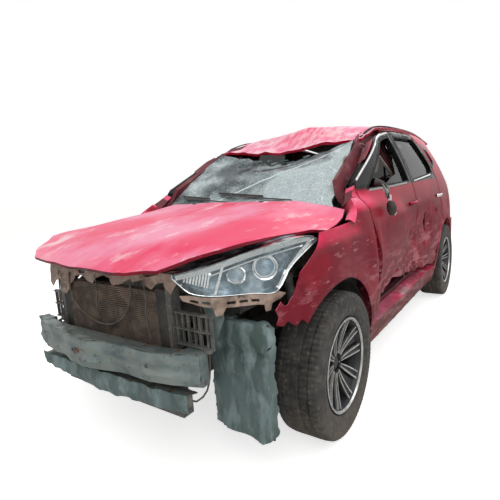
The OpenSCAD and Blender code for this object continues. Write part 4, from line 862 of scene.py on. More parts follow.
# doors
doorSizes = dict(low=66.0, belt=52.0, top=44.0, crumple=15, trim=69, armrest=92, handleDrop=118, handleLong=190,
    tornZ=566.0)
doorLeft = [(-800, 392), (-700, 424), (-584, 500), (-500, 486), (-400, 540), (-276, 528), (-160, 508), (-60, 520),
    (59, 486), (150, 498), (pillarY - shut / 2, 462)]
rearLeftLow = [(pillarY + shut / 2, 458), (330, 476), (420, 446), (560, 452), (675, 424), (790, 408)]
doors = [("front_left", frontDoor, frontWindow, 1, doorLeft), ("rear_left", rearDoor, rearWindow, 1, rearLeftLow),
    ("front_right", frontDoor, frontWindow, -1, None), ("rear_right", rearDoor, rearWindow, -1, None)]
for name, outline, window, s, low in doors:
    body, part = "body" if s > 0 else "door_" + name, "door_" + name
    shape = list(outline)
    if low:
        shape = low + (outline[2:] if "front" in name else [q for q in outline[1:] if q[1] > 400])
    if name == "front_left":
        shape += [(-797, 980), (-778, 920), (-756, 850), (-734, 780), (-726, 710), (-742, 640), (-776, 570),
            (-792, 480)]
    tears = {"front_left": [[(-330, 568), (-300, 590), (-262, 580), (-286, 558)]],
        "rear_left": [[(536, 892), (566, 872), (596, 800), (600, 730), (574, 700), (560, 770), (530, 800)],
            [(846, 878), (880, 888), (900, 866), (884, 840), (852, 844)]]}.get(name, [])
    deep = (lambda f: np.where(f[:, 1] > beltZ, doorSizes["top"], np.where(f[:, 1] > beltZ - 60, doorSizes["belt"],
                doorSizes["low"])))
    panel = skin(shape, sideLift(s), deep, 20 if s > 0 else 30, [window, *tears], (s, 0, 0), 3,
        dent=(lambda p, f, s=s: crumple(s, doorSizes["crumple"], 120, 5)(p, f)
            + 9 * (1 - ramp(f[:, 1], 470, 620)) * creased(p, 80, 4) + 14 * bump(f[:, 0], f[:, 1], -735, 730, 34,
                170) - 12 * bump(f[:, 0], f[:, 1], 560, 800, 90, 110)) if s > 0 else None)
    put("door_skin_" + name, [panel], enamel, body, [part], second=[innerEnamelShaded, blackFilm],
        pick=lambda c, n, s=s: np.where(c[:, 2] > beltZ + 22, 2, np.where(n[:, 0] * s < -0.35, 1, 0)))
    # black surround of the window, with the bright strip along its sill
    around = skin(offset(window, 27), sideLift(s, -0.8), 5, 22, [offset(window, -3)], (s, 0, 0), 1.0)
    put("window_surround_" + name, [around], rubber, body)
    line = resample(np.array(window[:2], float), 40)[:max(3, int(abs(window[1][0] - window[0][0]) / 40))]
    line[:, 1] -= 12
    put("belt_strip_" + name, [sweep(onSide(s, line, 1.5), flatBar(2, 7, 3, 6))], chrome if s > 0 else rubber, body)
    if "front" in name:
        edge = resample(np.array([(doorY + 52, beltZ + 76), head(headerY + 82, 16), head(headerY + 200, 10),
                    head(headerY + 420, 10), head(pillarY - 20, 10)], float), 36)
        edge = edge[:int(len(edge) * 0.5)]
        edge = edge[np.argsort(edge[:, 0])]
        put("window_bright_strip_" + name, [sweep(onSide(s, edge, 1), ridge(6, 3, 5, 3), (s, 0, 0))], chrome, body)
    # handle: a bowed bar
    y1 = outline[1][0] - 48 if "front" in name else doorEnd - 8
    hz = beltZ - doorSizes["handleDrop"]
    bar = []
    for t in steps(0, 1, 14):
        y = y1 - doorSizes["handleLong"] * (1 - t)
        bar.append((s * (sideX(s, y, hz) + 5 + 21 * math.sin(math.pi * t) ** 0.5), y, hz))
    put("door_handle_" + name, [sweep(bar, ring(9, 10, 1.5), (0, 0, 1))], chrome if name == "rear_left" else enamel,
        body)
    # inner trim with its armrest
    trimEdge = offset([q for q in outline if q[1] < beltZ - 30] + [(outline[-1][0] + 4, beltZ - 34)]
        if "rear" not in name else [(pillarY + 8, doorZ), *[q for q in rearDoor[1:] if q[1] < beltZ - 30],
            (doorEnd, beltZ - 40), (pillarY + 8, beltZ - 40)], -34)
    if s > 0:  # the trim's foot went with the torn foot of the door
        trimEdge = [(float(a), max(float(b), doorSizes["tornZ"])) for a, b in trimEdge]
        trimEdge = [q for q, r in zip(trimEdge, trimEdge[1:] + trimEdge[:1]) if math.dist(q, r) > 4]
    trim = skin(trimEdge, sideLift(s, doorSizes["trim"]), 9, 45, facing=(s, 0, 0), hem=1)
    rest = [(s * (sideX(s, y, 700) - doorSizes["armrest"]), y, 720 + 12 * math.sin((y - outline[0][0]) / 160))
        for y in steps(outline[0][0] + 180, outline[0][0] + 640, 14)]
    put("door_trim_" + name, [trim, sweep(rest, [(-26, -16), (-26, 16), (20, 20), (24, -16)])], leather, body)
print("doors and glass made")

# mirrors
# left: the foot on the door, a bent bracket, and the housing hanging by its wire with the glass gone
foot = sweep([(806, -655, 1128), (826, -652, 1122), (846, -648, 1112), (862, -644, 1098)], ring(18, 10, 0.7),
    (0, 1, 0), scale=[1.2, 1, 0.9, 0.7])
stem = sweep([(858, -646, 1104), (868, -640, 1080), (872, -636, 1050), (880, -632, 1022)],
    [(-9, -7), (-10, 6), (2, 10), (10, 5), (8, -8)], (0, 1, 0), scale=[1.2, 0.8, 1.1, 0.8])
shellPath = [(872, -622, 1006), (884, -618, 992), (890, -616, 968), (890, -612, 942), (886, -610, 926)]
housing = sweep(shellPath, ring(31, 14, 0.62), (0, 1, 0), scale=[0.4, 0.85, 0.95, 0.8, 0.35])
hangsAt = np.array([-4.0, 40.0, 45.0])
put("mirror_housing_left", [(v + hangsAt, f) for v, f in (foot, stem, housing)], nylon, "body",
    ["mirror_left"])
bits = [turned(box(-10, 10, -8, 8, -16, 16, 2), (884, -630, 1030), (0.9, 0.4, 0), (-0.4, 0.9, 0)),
    turned(box(-9, 9, -12, 12, -8, 8, 2), (900, -596, 936), (0.5, 0, 0.86), (0, 1, 0), (-0.86, 0, 0.5)),
    turned(box(-16, 16, -3, 3, -12, 12, 1), (868, -662, 1072), (1, 0, 0), (0, 0.9, 0.43), (0, -0.43, 0.9))]
put("mirror_connectors_left", [(v + hangsAt, f) for v, f in bits], lampWhite, "body", bevel=1)
brackets = (sweep([(856, -676, 1110), (872, -682, 1090), (880, -674, 1060), (874, -662, 1036)], flatBar(9, 2, 9, 2),
        (1, 0, 0)), sweep([(850, -620, 1112), (866, -612, 1096), (878, -616, 1072), (880, -622, 1050)],
        flatBar(5, 2, 5, 2), (1, 0, 0)))
put("mirror_bracket_left", [(v + hangsAt, f) for v, f in brackets], steel)
cap = sweep([(-828, -560, 1132), (-862, -560, 1128), (-884, -560, 1130), (-906, -560, 1134), (-924, -560, 1136)],
    ring(58, 18, 1.0), (0, 0, 1), scale=[0.3, 0.8, 1.0, 0.95, 0.55])
cap = (cap[0] * np.array([1, 0.9, 1]) + np.array([0, -30, 0]), cap[1])
put("mirror_housing_right",
    [cap, sweep([(-800, -655, 1085), (-826, -640, 1098), (-846, -612, 1112), (-862, -590, 1120)], ring(16, 10, 0.8),
            (0, 1, 0))], enamel, "door_front_right", ["mirror_right"], second=nylon,
    pick=lambda c, n: c[:, 2] < 1100)

# headlamp: clear cover over a dark housing, bright strip, projector and the torn tan flange
lamp = dict(lens=4, housing=62, strip=13)
alongTop = [(t, float(curveAt(t, lampTop)) - 3) for t in steps(6, 724, 34)]
alongLow = [(t, float(curveAt(t, lampLow)) + 3) for t in steps(724, 6, 34)]
lampEdge = alongTop + alongLow


def lampLift(depth, swell=0.0):
    def lift(t, z):
        top, low = curveAt(t, lampTop), curveAt(t, lampLow)
        mid, half = (top + low) / 2, (top - low) / 2 + 1
        crown = 1 - np.clip((z - mid) / half, -1, 1) ** 2
        return lampAt(t, z, depth - swell * crown)
    return lift


put("headlamp_cover", [skin(lampEdge, lampLift(4), lamp["lens"], 18, facing=(0.6, -0.8, 0), hem=2)], clearLens,
    "body", ["headlamp"])
put("headlamp_housing", [skin(offset(lampEdge, -3), lampLift(lamp["housing"], -14), 20, 20, facing=(0.6, -0.8, 0),
            hem=1)], reflectorPaintedGlints)
wall = resample(offset(lampEdge, -2), 24)
innerWall = wall + (wall.mean(0) - wall) * 0.012
rows = [np.stack(lampAt(q[:, 0], q[:, 1], d), 1) for q, d in ((wall, 7), (wall, 30), (wall, lamp["housing"] + 4),
        (innerWall, lamp["housing"] + 3), (innerWall, 30), (innerWall, 8))]
m, k = len(wall), len(rows)
bezel = (np.concatenate(rows), [[r * m + i, r * m + (i + 1) % m, (r + 1) % k * m + (i + 1) % m, (r + 1) % k * m + i]
        for r in range(k) for i in range(m)])
put("headlamp_bezel", [bezel], chrome, "body", angle=50)


def lampStrip(t0, t1, high, depth, drop):
    line = [lampAt(t, curveAt(t, lampTop) - drop, depth) for t in steps(t0, t1, 40)]
    return sweep(line, flatBar(4, high, 6, high * 0.7), (0, 0, 1))


lowStrip = sweep([lampAt(t, curveAt(t, lampLow) + 9 + 6 * ramp(t, 430, 520), 16) for t in steps(430, 712, 24)],
    flatBar(4, 7, 5, 5), (0, 0, 1))
put("headlamp_bright_strip", [lampStrip(20, 700, lamp["strip"], 22, 21), lampStrip(150, 640, 4, 30, 46), lowStrip],
    chrome, "body")
px, py, z = lampAt(392.0, 884.0, 44)
out = Vector((0.62, -0.78, -0.02)).normalized()
ex = out.cross(Vector((0, 0, 1))).normalized()
ey = out.cross(ex)
rings = lathe([(30, -30), (52, -22), (55, 0), (50, 10), (44, 8), (40, -4), (37, -4), (30, -12)], 40)
eye = lathe([(0.5, 16), (12, 15), (24, 10), (33, 2), (37, -6), (30, -12), (0.5, -12)], 40)
second = lathe([(20, -16), (36, -10), (38, 2), (33, 6), (28, 0), (22, -8)], 36)
bulb = lathe([(0.5, 2), (16, 0), (26, -6), (30, -14), (0.5, -14)], 36)
px2, py2, z = lampAt(262.0, 872.0, 44)
put("headlamp_reflectors", [turned(rings, (px, py, 888), ex, ey, out), turned(second, (px2, py2, 872), ex, ey,
            out)], chrome, "body")
divider = sweep([lampAt(172.0 + 4 * k, z, 20.0) for k, z in enumerate(steps(812, 926, 10))], flatBar(4, 9, 5, 7),
    (0.6, -0.8, 0))
fluting = [sweep([lampAt(40.0 + 13 * k + 0.3 * (z - 850), z, 40.0) for z in steps(860 - 3.2 * k, 902 + 1.6 * k, 6)],
        flatBar(3, 5, 4, 3), (0.6, -0.8, 0)) for k in range(9)]
put("headlamp_divider_and_flutes", [divider] + fluting, chrome, "body")
put("headlamp_projector_lens", [turned(eye, (px, py, 888), ex, ey, out), turned(bulb, (px2, py2, 872), ex, ey,
            out)], lampEyePaintedGlints, "body")
flange = [(30, -4), (120, -2), (200, 0), (330, 2), (430, 0), (470, -14), (440, -34), (402, -38), (396, -66),
    (372, -70), (366, -40), (300, -44), (210, -42), (196, -74), (168, -78), (160, -44), (90, -38), (40, -24)]
slots = [[(a, -30), (a + 34, -30), (a + 34, -18), (a, -18)] for a in (70, 118, 214, 262, 310)]


def flangeLift(t, d):
    ease = np.clip(-d / 70, 0, 1)
    return lampAt(t, curveAt(np.clip(t, 80, 425), lampLow) + d, 8 + 14 * ease)


put("headlamp_flange", [skin(flange, flangeLift, 4, 14, slots, (0.6, -0.8, 0), 0.8,
            dent=lambda p, f: 3 * rumple(p, 60, 3))], tanPlastic, "body")
print("lamp and mirrors made")


# wheels
wheel = dict(tread=344, blocks=84, groove=7, sipe=5.5, spokes=5)


def tyreMesh():
    half, r = tyreWide / 2, wheel["tread"]
    across = []
    for z in (-98, -92, -66, -58, -54, -26, -18, -14, 14, 18, 26, 54, 58, 66, 92, 98):
        deep = wheel["groove"] if abs(z) in (58, 18) else 0
        edge = {98: 9, 92: 4}.get(abs(z), 0)
        across.append((r - edge - deep, z))
    side = [(226, 86), (232, 97), (246, 104), (262, half - 1.5), (290, half), (296, half - 1.2), (300, half - 0.2),
        (318, 104), (330, 101)]
    section = [(a, -b) for a, b in side] + across + side[::-1] + [(228, 78), (300, 88), (322, 60), (322, -60),
        (300, -88), (228, -78)]
    q = np.array(section, float)
    n = wheel["blocks"] * 3
    v = []
    for i in range(n):
        a = 2 * math.pi * i / n
        rr = q[:, 0].copy()
        cut = ((i + np.where(q[:, 1] > 0, 1, 0)) % 3 == 0) & (q[:, 0] > 328) & (np.abs(q[:, 1]) > 25)
        rr[cut] -= wheel["sipe"]
        v.append(np.stack([np.cos(a) * rr, np.sin(a) * rr, q[:, 1]], 1))
    m = len(q)
    f = [[i * m + j, ((i + 1) % n) * m + j, ((i + 1) % n) * m + (j + 1) % m, i * m + (j + 1) % m] for i in range(n)
        for j in range(m)]
    return np.concatenate(v), f


def spokeBar(a0, a1, wide0, wide1, low, high, r0=46, r1=212, n=10):
    # bar of a spoke, wider and higher towards the rim
    path, v = [], []
    for t in steps(0, 1, n):
        r, a = r0 + (r1 - r0) * t, math.radians(a0 + (a1 - a0) * t)
        path.append(np.array([r * math.cos(a), r * math.sin(a), 34 + 36 * t**1.6]))
        across = np.array([-math.sin(a), math.cos(a), 0]) * (wide0 / 2 + (wide1 - wide0) / 2 * t)
        v += [path[-1] + across * w + np.array([0, 0, h]) for w, h in ((-1, low), (-0.82, high), (0.82, high),
                (1, low))]
    return np.array(v), [q[::-1] for q in sweep(path, ring(1, 4))[1]]


tyre = tyreMesh()
barrel = lathe([(226, 92), (224, 97), (214, 97), (207, 88), (203, 62), (197, 40), (194, 16), (194, -70), (204, -92),
        (224, -97), (226, -92), (212, -84), (204, -60), (203, 20), (209, 74), (216, 88)], 72)
lipRing = lathe([(222, 98), (216, 100), (209, 92), (212, 86)], 72)
hubDish = lathe([(30, 30), (64, 32), (72, 24), (70, 4), (30, 0)], 48)
capDisc = lathe([(0.4, 45), (16, 44.6), (27, 42), (31, 37), (30, 30), (0.4, 30)], 40)
for s, side in sides:
    for end, y in (("front", frontY), ("rear", rearY)):
        name, body = "%s_%s" % (end, side), "wheel_%s_%s" % (end, side)
        place, axes = (s * hubX, y, wheelZ), ((0, 1, 0), (0, 0, 1), (s, 0, 0))
        put("tyre_" + name + "_tread", [turned(tyre, place, *axes)], tyreRubber, body, ["tyre_" + name],
            angle=32)
        bright, lugs = [turned(lipRing, place, *axes)], []
        dark = [turned(q, place, *axes) for q in (barrel, hubDish, capDisc)]
        for k in range(wheel["spokes"]):
            a = 90 + 72 * k
            for w in (-1, 1):
                bright.append(turned(spokeBar(a + w * 13, a + w * 11.5, 8, 11, 8, 17), place, *axes))
                bright.append(turned(spokeBar(a + w * 27, a + w * 20.5, 7, 9, 8, 17), place, *axes))
                dark.append(turned(spokeBar(a + w * 20, a + w * 16, 24, 38, -6, 10), place, *axes))
            dark.append(turned(spokeBar(a, a, 18, 60, -12, 0, 60, 205), place, *axes))
            b = math.radians(a + 36)
            nut = lathe([(0.4, 40), (7, 40), (8.5, 37), (8.5, 26), (0.4, 26)], 6,
                (57 * math.cos(b), 57 * math.sin(b), 0))
            lugs.append(turned(nut, place, *axes))
        put("rim_" + name + "_dark", dark, darkAlloy, body, ["rim_" + name], angle=30)
        put("rim_" + name + "_bright", bright, alloy, body, angle=30)
        put("rim_" + name + "_bolts", lugs, steel, body, angle=40)
        disc = lathe([(60, -14), (146, -14), (148, -17), (148, -21), (140, -22), (140, -28), (148, -29), (148, -33),
                (146, -36), (60, -36)], 64)
        bell = lathe([(30, -8), (66, -8), (72, -14), (72, -34), (30, -34)], 48)
        carrier = "knuckle_" + side if end == "front" else "body"
        put("brake_disc_" + name, [turned(disc, place, *axes), turned(bell, place, *axes)], iron, body)
        grip = [(math.cos(math.radians(a)) * 122, math.sin(math.radians(a)) * 122, -27)
            for a in steps(140, 196, 10)]
        put("brake_calliper_" + name,
            [turned(sweep(grip, [(-34, -32), (-34, 19), (-20, 25), (34, 23), (36, -30)], (0, 0, 1)), place, *axes)],
            cast, carrier)
print("wheels made")


# front end: beam, radiator, torn tie panel, brackets, undertray, shield
beam = dict(sheet=3, flute=7, dented=8, creased=4, flange=58)


def beamLift(x, z):
    v = (z - 525) / 62
    flutes = beam["flute"] * (np.exp(-((v - 0.45) / 0.22) ** 2) + np.exp(-((v + 0.45) / 0.22) ** 2))
    return x, beamY(x) - 10 - flutes, z


beamHoles = [[(x + 9 * math.cos(a), 525 + 7 * math.sin(a)) for a in np.linspace(0, 2 * math.pi, 9)[:-1]]
    for x in (-430, -120, 40, 330, 470)]
put("beam_skin", [skin([(-563, 463), (563, 463), (563, 587), (-563, 587)], beamLift, beam["sheet"], 13, beamHoles,
            (0, -1, 0), 2, dent=lambda p, f: beam["dented"] * creased(p, 120, 5)
            + beam["creased"] * creased(p, 45, 8) + 3 * rumple(p, 200, 1))], steel, "body")
flangeTop = skin([(-560, 0), (560, 0), (560, beam["flange"]), (-560, beam["flange"])],
    lambda x, d: (x, beamY(x) + d - 8, 596 - 0.05 * d + 5 * np.sin(x / 34) * (1 - ramp(d, 0, 40))), 3, 13, hem=1,
    dent=lambda p, f: 3 * rumple(p, 60, 3) + 6 * creased(p, 70, 2))
put("beam_top_flange", [flangeTop], steel, "body")
radiator = dict(tubes=52, half=312, low=352, high=796)
tubes = []
for k in range(radiator["tubes"]):
    z = radiator["low"] + (radiator["high"] - radiator["low"]) * k / (radiator["tubes"] - 1)
    dip = [(x, -1903 + 1.5 * math.sin(x / 70 + k), z + 1.2 * math.sin(x / 45 + k * 0.7))
        for x in steps(-radiator["half"], radiator["half"], 16)]
    tubes.append(sweep(dip, flatBar(3, 2.2, 3, 2.2)))
fins = [box(x, x + 1.6, -1904, -1899, radiator["low"], radiator["high"]) for x in steps(-300, 300, 60)]
put("radiator_tubes_and_fins", tubes + fins, core, "body")
tanks = [sweep([(s * 338, -1889, z) for z in steps(342, 808, 24)], flatBar(27, 16, 27, 16), (0, 1, 0),
        scale=[1 + 0.06 * (i % 2) for i in range(25)]) for s in (1, -1)]
put("radiator_side_tanks", tanks, nylon, "body", bevel=1.5)
tieEdge = [(-432, -1914), (-380, -1930), (-330, -1918), (-250, -1934), (-180, -1916), (-110, -1938), (-40, -1920),
    (30, -1932), (80, -1912), (150, -1936), (230, -1920), (300, -1932), (360, -1914), (430, -1908), (440, -1868),
    (380, -1846), (200, -1842), (0, -1848), (-200, -1842), (-380, -1848), (-436, -1872)]
tieSlots = [[(-300, -1896), (-240, -1896), (-246, -1876), (-296, -1876)],
    [(60, -1900), (140, -1902), (130, -1880), (70, -1880)], [(250, -1892), (290, -1892), (290, -1874), (250, -1874)]]


def tieLift(x, y):
    return x, y, 893 + 9 * np.sin(x / 62) * (1 - ramp(y, -1930, -1860)) - 14 * (1 - ramp(y, -1936, -1900))


tie = skin(tieEdge, tieLift, 4, 14, tieSlots, hem=1, dent=lambda p, f: 6 * rumple(p, 70, 2) + 6 * creased(p, 40, 7))
ragged = [(-436, 884), (430, 884), (436, 842), (408, 800), (384, 812), (372, 846), (330, 838), (300, 812),
    (268, 826), (250, 848), (196, 836), (160, 842), (120, 822), (70, 812), (40, 840), (-20, 846), (-70, 830),
    (-110, 800), (-150, 806), (-170, 836), (-230, 830), (-262, 790), (-290, 742), (-322, 752), (-340, 810),
    (-372, 800), (-396, 770), (-430, 790)]
hang = [skin(ragged, lambda x, z: (x, -1917 - 12 * np.sin(x / 75) * (884 - z) / 90 - 0.10 * (884 - z), z), 3, 12,
        [[(-200, 862), (-150, 862), (-156, 846), (-196, 846)], [(10, 868), (60, 866), (54, 852), (14, 852)]],
        (0, -1, 0), 0.6, dent=lambda p, f: (8 * creased(p, 60, 4)
            + 5 * rumple(p, 90, 2)) * ramp(f[:, 1], 890, 850))]
put("torn_tie_panel", [tie] + hang, tanPlastic)
# webs and clips over the ribbed brackets beside the lamp
webs = []
for x0, x1 in ((400, 586), (-468, -394)):
    for z0 in (596, 662, 727):
        webs.append(box(x0, x1, -1906, -1894, z0 - 2, z0 + 3))
    for x in np.arange(x0 + 12, x1, 31):
        webs.append(box(x, x + 4, -1904, -1892, 592, 731))
    webs.append(sweep([(x0, -1902, 560), (x0 + 40, -1916, 566), ((x0 + x1) / 2, -1912, 578), (x1, -1904, 592)],
            flatBar(9, 6, 9, 6)))
put("bracket_webs", webs, greyNylon, "body", bevel=0.8)
corner = skin([(470, 800), (596, 792), (604, 706), (566, 604), (548, 650), (520, 742)],
    lambda x, z: (x, -1872 + 0.25 * (x - 470) + 0.04 * (z - 700), z), 4, 14, facing=(0, -1, 0), hem=1,
    dent=lambda p, f: 4 * creased(p, 60, 3))
put("torn_corner_panel", [corner], shieldPlastic)


def plateAt(depth):
    c, s = math.cos(math.radians(-6)), math.sin(math.radians(-6))
    return lambda a, z: (478 + a * c - depth * s, -1738 + a * s + depth * c, z)


shield = dict(sheet=58, fold=12, crease=4, lumps=6)
shieldEdge = [(-10, 206), (70, 192), (170, 198), (250, 190), (290, 214), (288, 380), (296, 520), (296, 620),
    (290, 664), (262, 684), (150, 684), (40, 684), (-2, 676), (-12, 640), (-14, 430)]
put("crumpled_splash_shield", [skin(shieldEdge, plateAt(-42), shield["sheet"], 11, facing=(0, -1, 0), hem=5,
            dent=lambda p, f: shield["fold"] * creased(p * np.array([1, 1, 0.6]), 110, 3)
            + shield["crease"] * creased(p, 42, 6) + shield["lumps"] * rumple(p, 130, 2)
            - 14 * np.exp(-((f[:, 1] - 560) / 16) ** 2) * (f[:, 0] > 30)
            - 10 * np.exp(-((f[:, 1] - 430) / 20) ** 2) * (f[:, 0] < 190))], shieldPlastic)
trayEdge = [(-478, -1976), (-300, -1984), (-60, -1974), (160, -1984), (360, -1972), (498, -1978), (492, -1900),
    (200, -1850), (-200, -1850), (-474, -1900)]
put("undertray", [skin(trayEdge, lambda x, y: (x, y, 424 - 30 * ramp(y, -1960, -1860)), 5, 16, hem=2,
            dent=lambda p, f: 7 * creased(p, 80, 4) + 3 * rumple(p, 160, 6))], steel)
lowEdge = [(-490, 428), (506, 430), (512, 350), (430, 346), (300, 340), (180, 330), (60, 322), (-60, 318),
    (-160, 330), (-260, 340), (-380, 350), (-492, 352)]
put("lower_bar_face", [skin(lowEdge, lambda x, z: (x, -2010 + 20 * (np.abs(x) / 500) ** 3
            + 0.45 * np.maximum(0, 366 - z), z), 6, 13, facing=(0, -1, 0), hem=2,
            dent=lambda p, f: 10 * creased(p, 95, 3) + 4 * rumple(p, 60, 5) + 4 * creased(p, 40, 8))], shieldPlastic)


# loose wires in the front opening, each held at its upper ends
def wire(name, pts, thick):
    # smooth cord through the points, its length taken along it
    p = np.array(pts, float)
    t = np.concatenate([[0], np.cumsum(np.linalg.norm(np.diff(p, axis=0), axis=1))])
    fine = np.linspace(0, t[-1], 28)
    q = np.stack([curveAt(fine, list(zip(t, p[:, k]))) for k in range(3)], 1)
    data = bpy.data.curves.new(name, "CURVE")
    data.dimensions, data.bevel_depth, data.bevel_resolution, data.use_fill_caps = "3D", thick * 0.0005, 3, True
    line = data.splines.new("POLY")
    line.points.add(len(q) - 1)
    for point, at in zip(line.points, q):
        point.co = (*(at * 0.001), 1)
    data.materials.append(cable)
    obj = bpy.data.objects.new(name, data)
    bpy.context.scene.collection.objects.link(obj)
    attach(obj, "body")


wire("wire_across_radiator", [(-262, -1926, 846), (-268, -1928, 780), (-230, -1926, 690), (-120, -1922, 628),
    (10, -1922, 622), (120, -1924, 680), (176, -1926, 770), (182, -1926, 846)], 8)
wire("wire_down_left", [(268, -1926, 850), (272, -1928, 770), (262, -1926, 690), (276, -1928, 610),
    (270, -1930, 560)], 6)
wire("wire_down_middle", [(-60, -1926, 850), (-54, -1928, 760), (-66, -1928, 700), (-58, -1926, 640)], 5)
wire("wire_down_right", [(-352, -1926, 850), (-358, -1930, 760), (-348, -1928, 680), (-356, -1926, 610),
    (-352, -1926, 560)], 6)
wire("wire_loop_by_shield", [(392, -1915, 700), (398, -1922, 600), (404, -1926, 480), (420, -1910, 380),
    (452, -1880, 340), (490, -1846, 380), (506, -1830, 500), (500, -1830, 640), (490, -1840, 740)], 8)
print("front end made")


# back of the car
gate = dict(upper=30.0, lower=38.0, step=26, inset=-10)
gateEdge = [(-650, 640), (650, 640), (665, 1070), (535, 1488), (-535, 1488), (-665, 1070)]
gateWindow = [(-570, 1165), (570, 1165), (490, 1433), (-490, 1433)]


def gateLift(off=0.0):
    def lift(x, z):
        press = 7 * np.exp(-((z - 1010) / 26) ** 2) - 9 * np.exp(-((z - 872) / 90) ** 2) * (np.abs(x) < 330)
        return x, gateFace(x, z) + off + press, z
    return lift


put("tailgate_skin", [skin(gateEdge, gateLift(gate["inset"]), lambda f: np.where(f[:, 1] > 1120, gate["upper"],
                gate["lower"]), gate["step"], [gateWindow], (0, 1, 0), 3,
            dent=lambda p, f: 1.5 * rumple(p, 260, 4))], enamel, "tailgate", ["tailgate"],
    second=innerEnamelShaded, pick=lambda c, n: n[:, 1] < -0.3)
put("tailgate_window", [skin(offset(gateWindow, 14), gateLift(-13), glassThick, 40, facing=(0, 1, 0), hem=0.5)],
    tinted, "tailgate", ["tailgate_glass"])
plate = skin([(-262, 818), (262, 818), (262, 928), (-262, 928)], lambda x, z: (x, gateFace(x, 872) - 14, z), 3, 40,
    facing=(0, 1, 0), hem=1)
put("blank_plate", [plate], lampWhite, "tailgate")
garnish = sweep([(x, gateFace(x, 972) - 3, 972) for x in steps(-430, 430, 30)], [(-4, -15), (-4, 13), (7, 9),
        (9, -9)], (0, 0, 1))
put("tailgate_garnish", [garnish], chrome, "tailgate")
spoiler = sweep([(x, gateFace(x, 1462) + 6 - 10 * (abs(x) / 500) ** 3, 1470 - 6 * (abs(x) / 500) ** 2)
        for x in steps(-500, 500, 30)], [(-16, -8), (-14, 10), (22, 7), (26, 0), (20, -9)], (0, 0, 1))
put("tailgate_spoiler", [spoiler], enamel, "tailgate")
wiperPath = [(0, gateFace(0, 1140) - 2, 1140), (60, gateFace(60, 1170) + 2, 1172), (190, gateFace(190, 1186), 1190),
    (330, gateFace(330, 1190) - 3, 1196)]
put("rear_wiper", [sweep(wiperPath, ridge(7, 3, 5, 5), (0, 1, 0)),
        turned(lathe([(0.5, 10), (16, 9), (20, 0), (20, -12), (0.5, -12)], 24), (0, gateFace(0, 1140) - 4, 1140),
            (1, 0, 0), (0, 0, -1), (0, 1, 0))], nylon, "tailgate")
trimBack = skin(offset([q for q in gateEdge if q[1] < 1100], -40), gateLift(-49), 6, 50, facing=(0, 1, 0), hem=1)
put("tailgate_trim", [trimBack], leather, "tailgate")

bumperTable = [(300, 70), (350, 22), (430, 4), (520, 0), (600, 6), (710, 34)]


def bumperAt(a, z, off):
    d = curveAt(z, bumperTable) * ramp(np.sin(a), 0, 0.9) + off
    c = np.cos(a)
    x = np.sign(c) * (830 - off - 0.3 * (d - off)) * np.abs(c) ** 0.3
    return x, 1772 + (328 - d) * np.clip(np.sin(a), 0, 1) ** 0.42


aa = np.concatenate([[0.0], np.geomspace(0.012, math.pi / 2, 34)])
aa = np.concatenate([aa, (math.pi - aa[:-1])[::-1]])
bumper = dict(wall=24.0, low=302, top=628, raised=64, rows=17)
grids = []
for off in (0.0, bumper["wall"]):
    x0 = bumperAt(aa, 400.0, off)[0]
    top = bumper["top"] + bumper["raised"] * ramp(np.abs(x0), 673, 705)
    heights = steps(bumper["low"], top, bumper["rows"])
    grids.append(np.array([np.stack([*bumperAt(aa, z, off), z], 1) for z in heights]))
put("rear_bumper_cover", [shell(*grids)], enamel, "body", ["rear_bumper"], second=nylon,
    pick=lambda c, n: c[:, 2] < 452)
for s, side in sides:
    band = []
    for x in steps(470, 640, 8):
        a = math.acos((x / 826) ** (1 / 0.3))
        bx, by = bumperAt(np.array([a]), np.array([400.0]), 0.0)
        band.append((s * float(bx[0]), float(by[0]) + 1, 404))
    put("rear_reflector_" + side, [sweep(band, flatBar(4, 16, 3, 14), (0, 0, 1))], redLens, "body")
    cover = skin(offset(tailLamp, -5), sideLift(s, -2), 5, 15, facing=(s, 0, 0), hem=2)
    bars = [sweep([(s * (sideX(s, y, z) + 3), y, z) for y in steps(1842, 1990, 10)], flatBar(1, 4, 3, 3), (0, 0, 1))
        for z in (930, 965, 1000)]
    put("tail_lamp_cover_" + side, [cover], redLens, "body", ["tail_lamps"] if s > 0 else ())
    put("tail_lamp_bars_" + side, bars, lampWhite, "body")
print("back made")


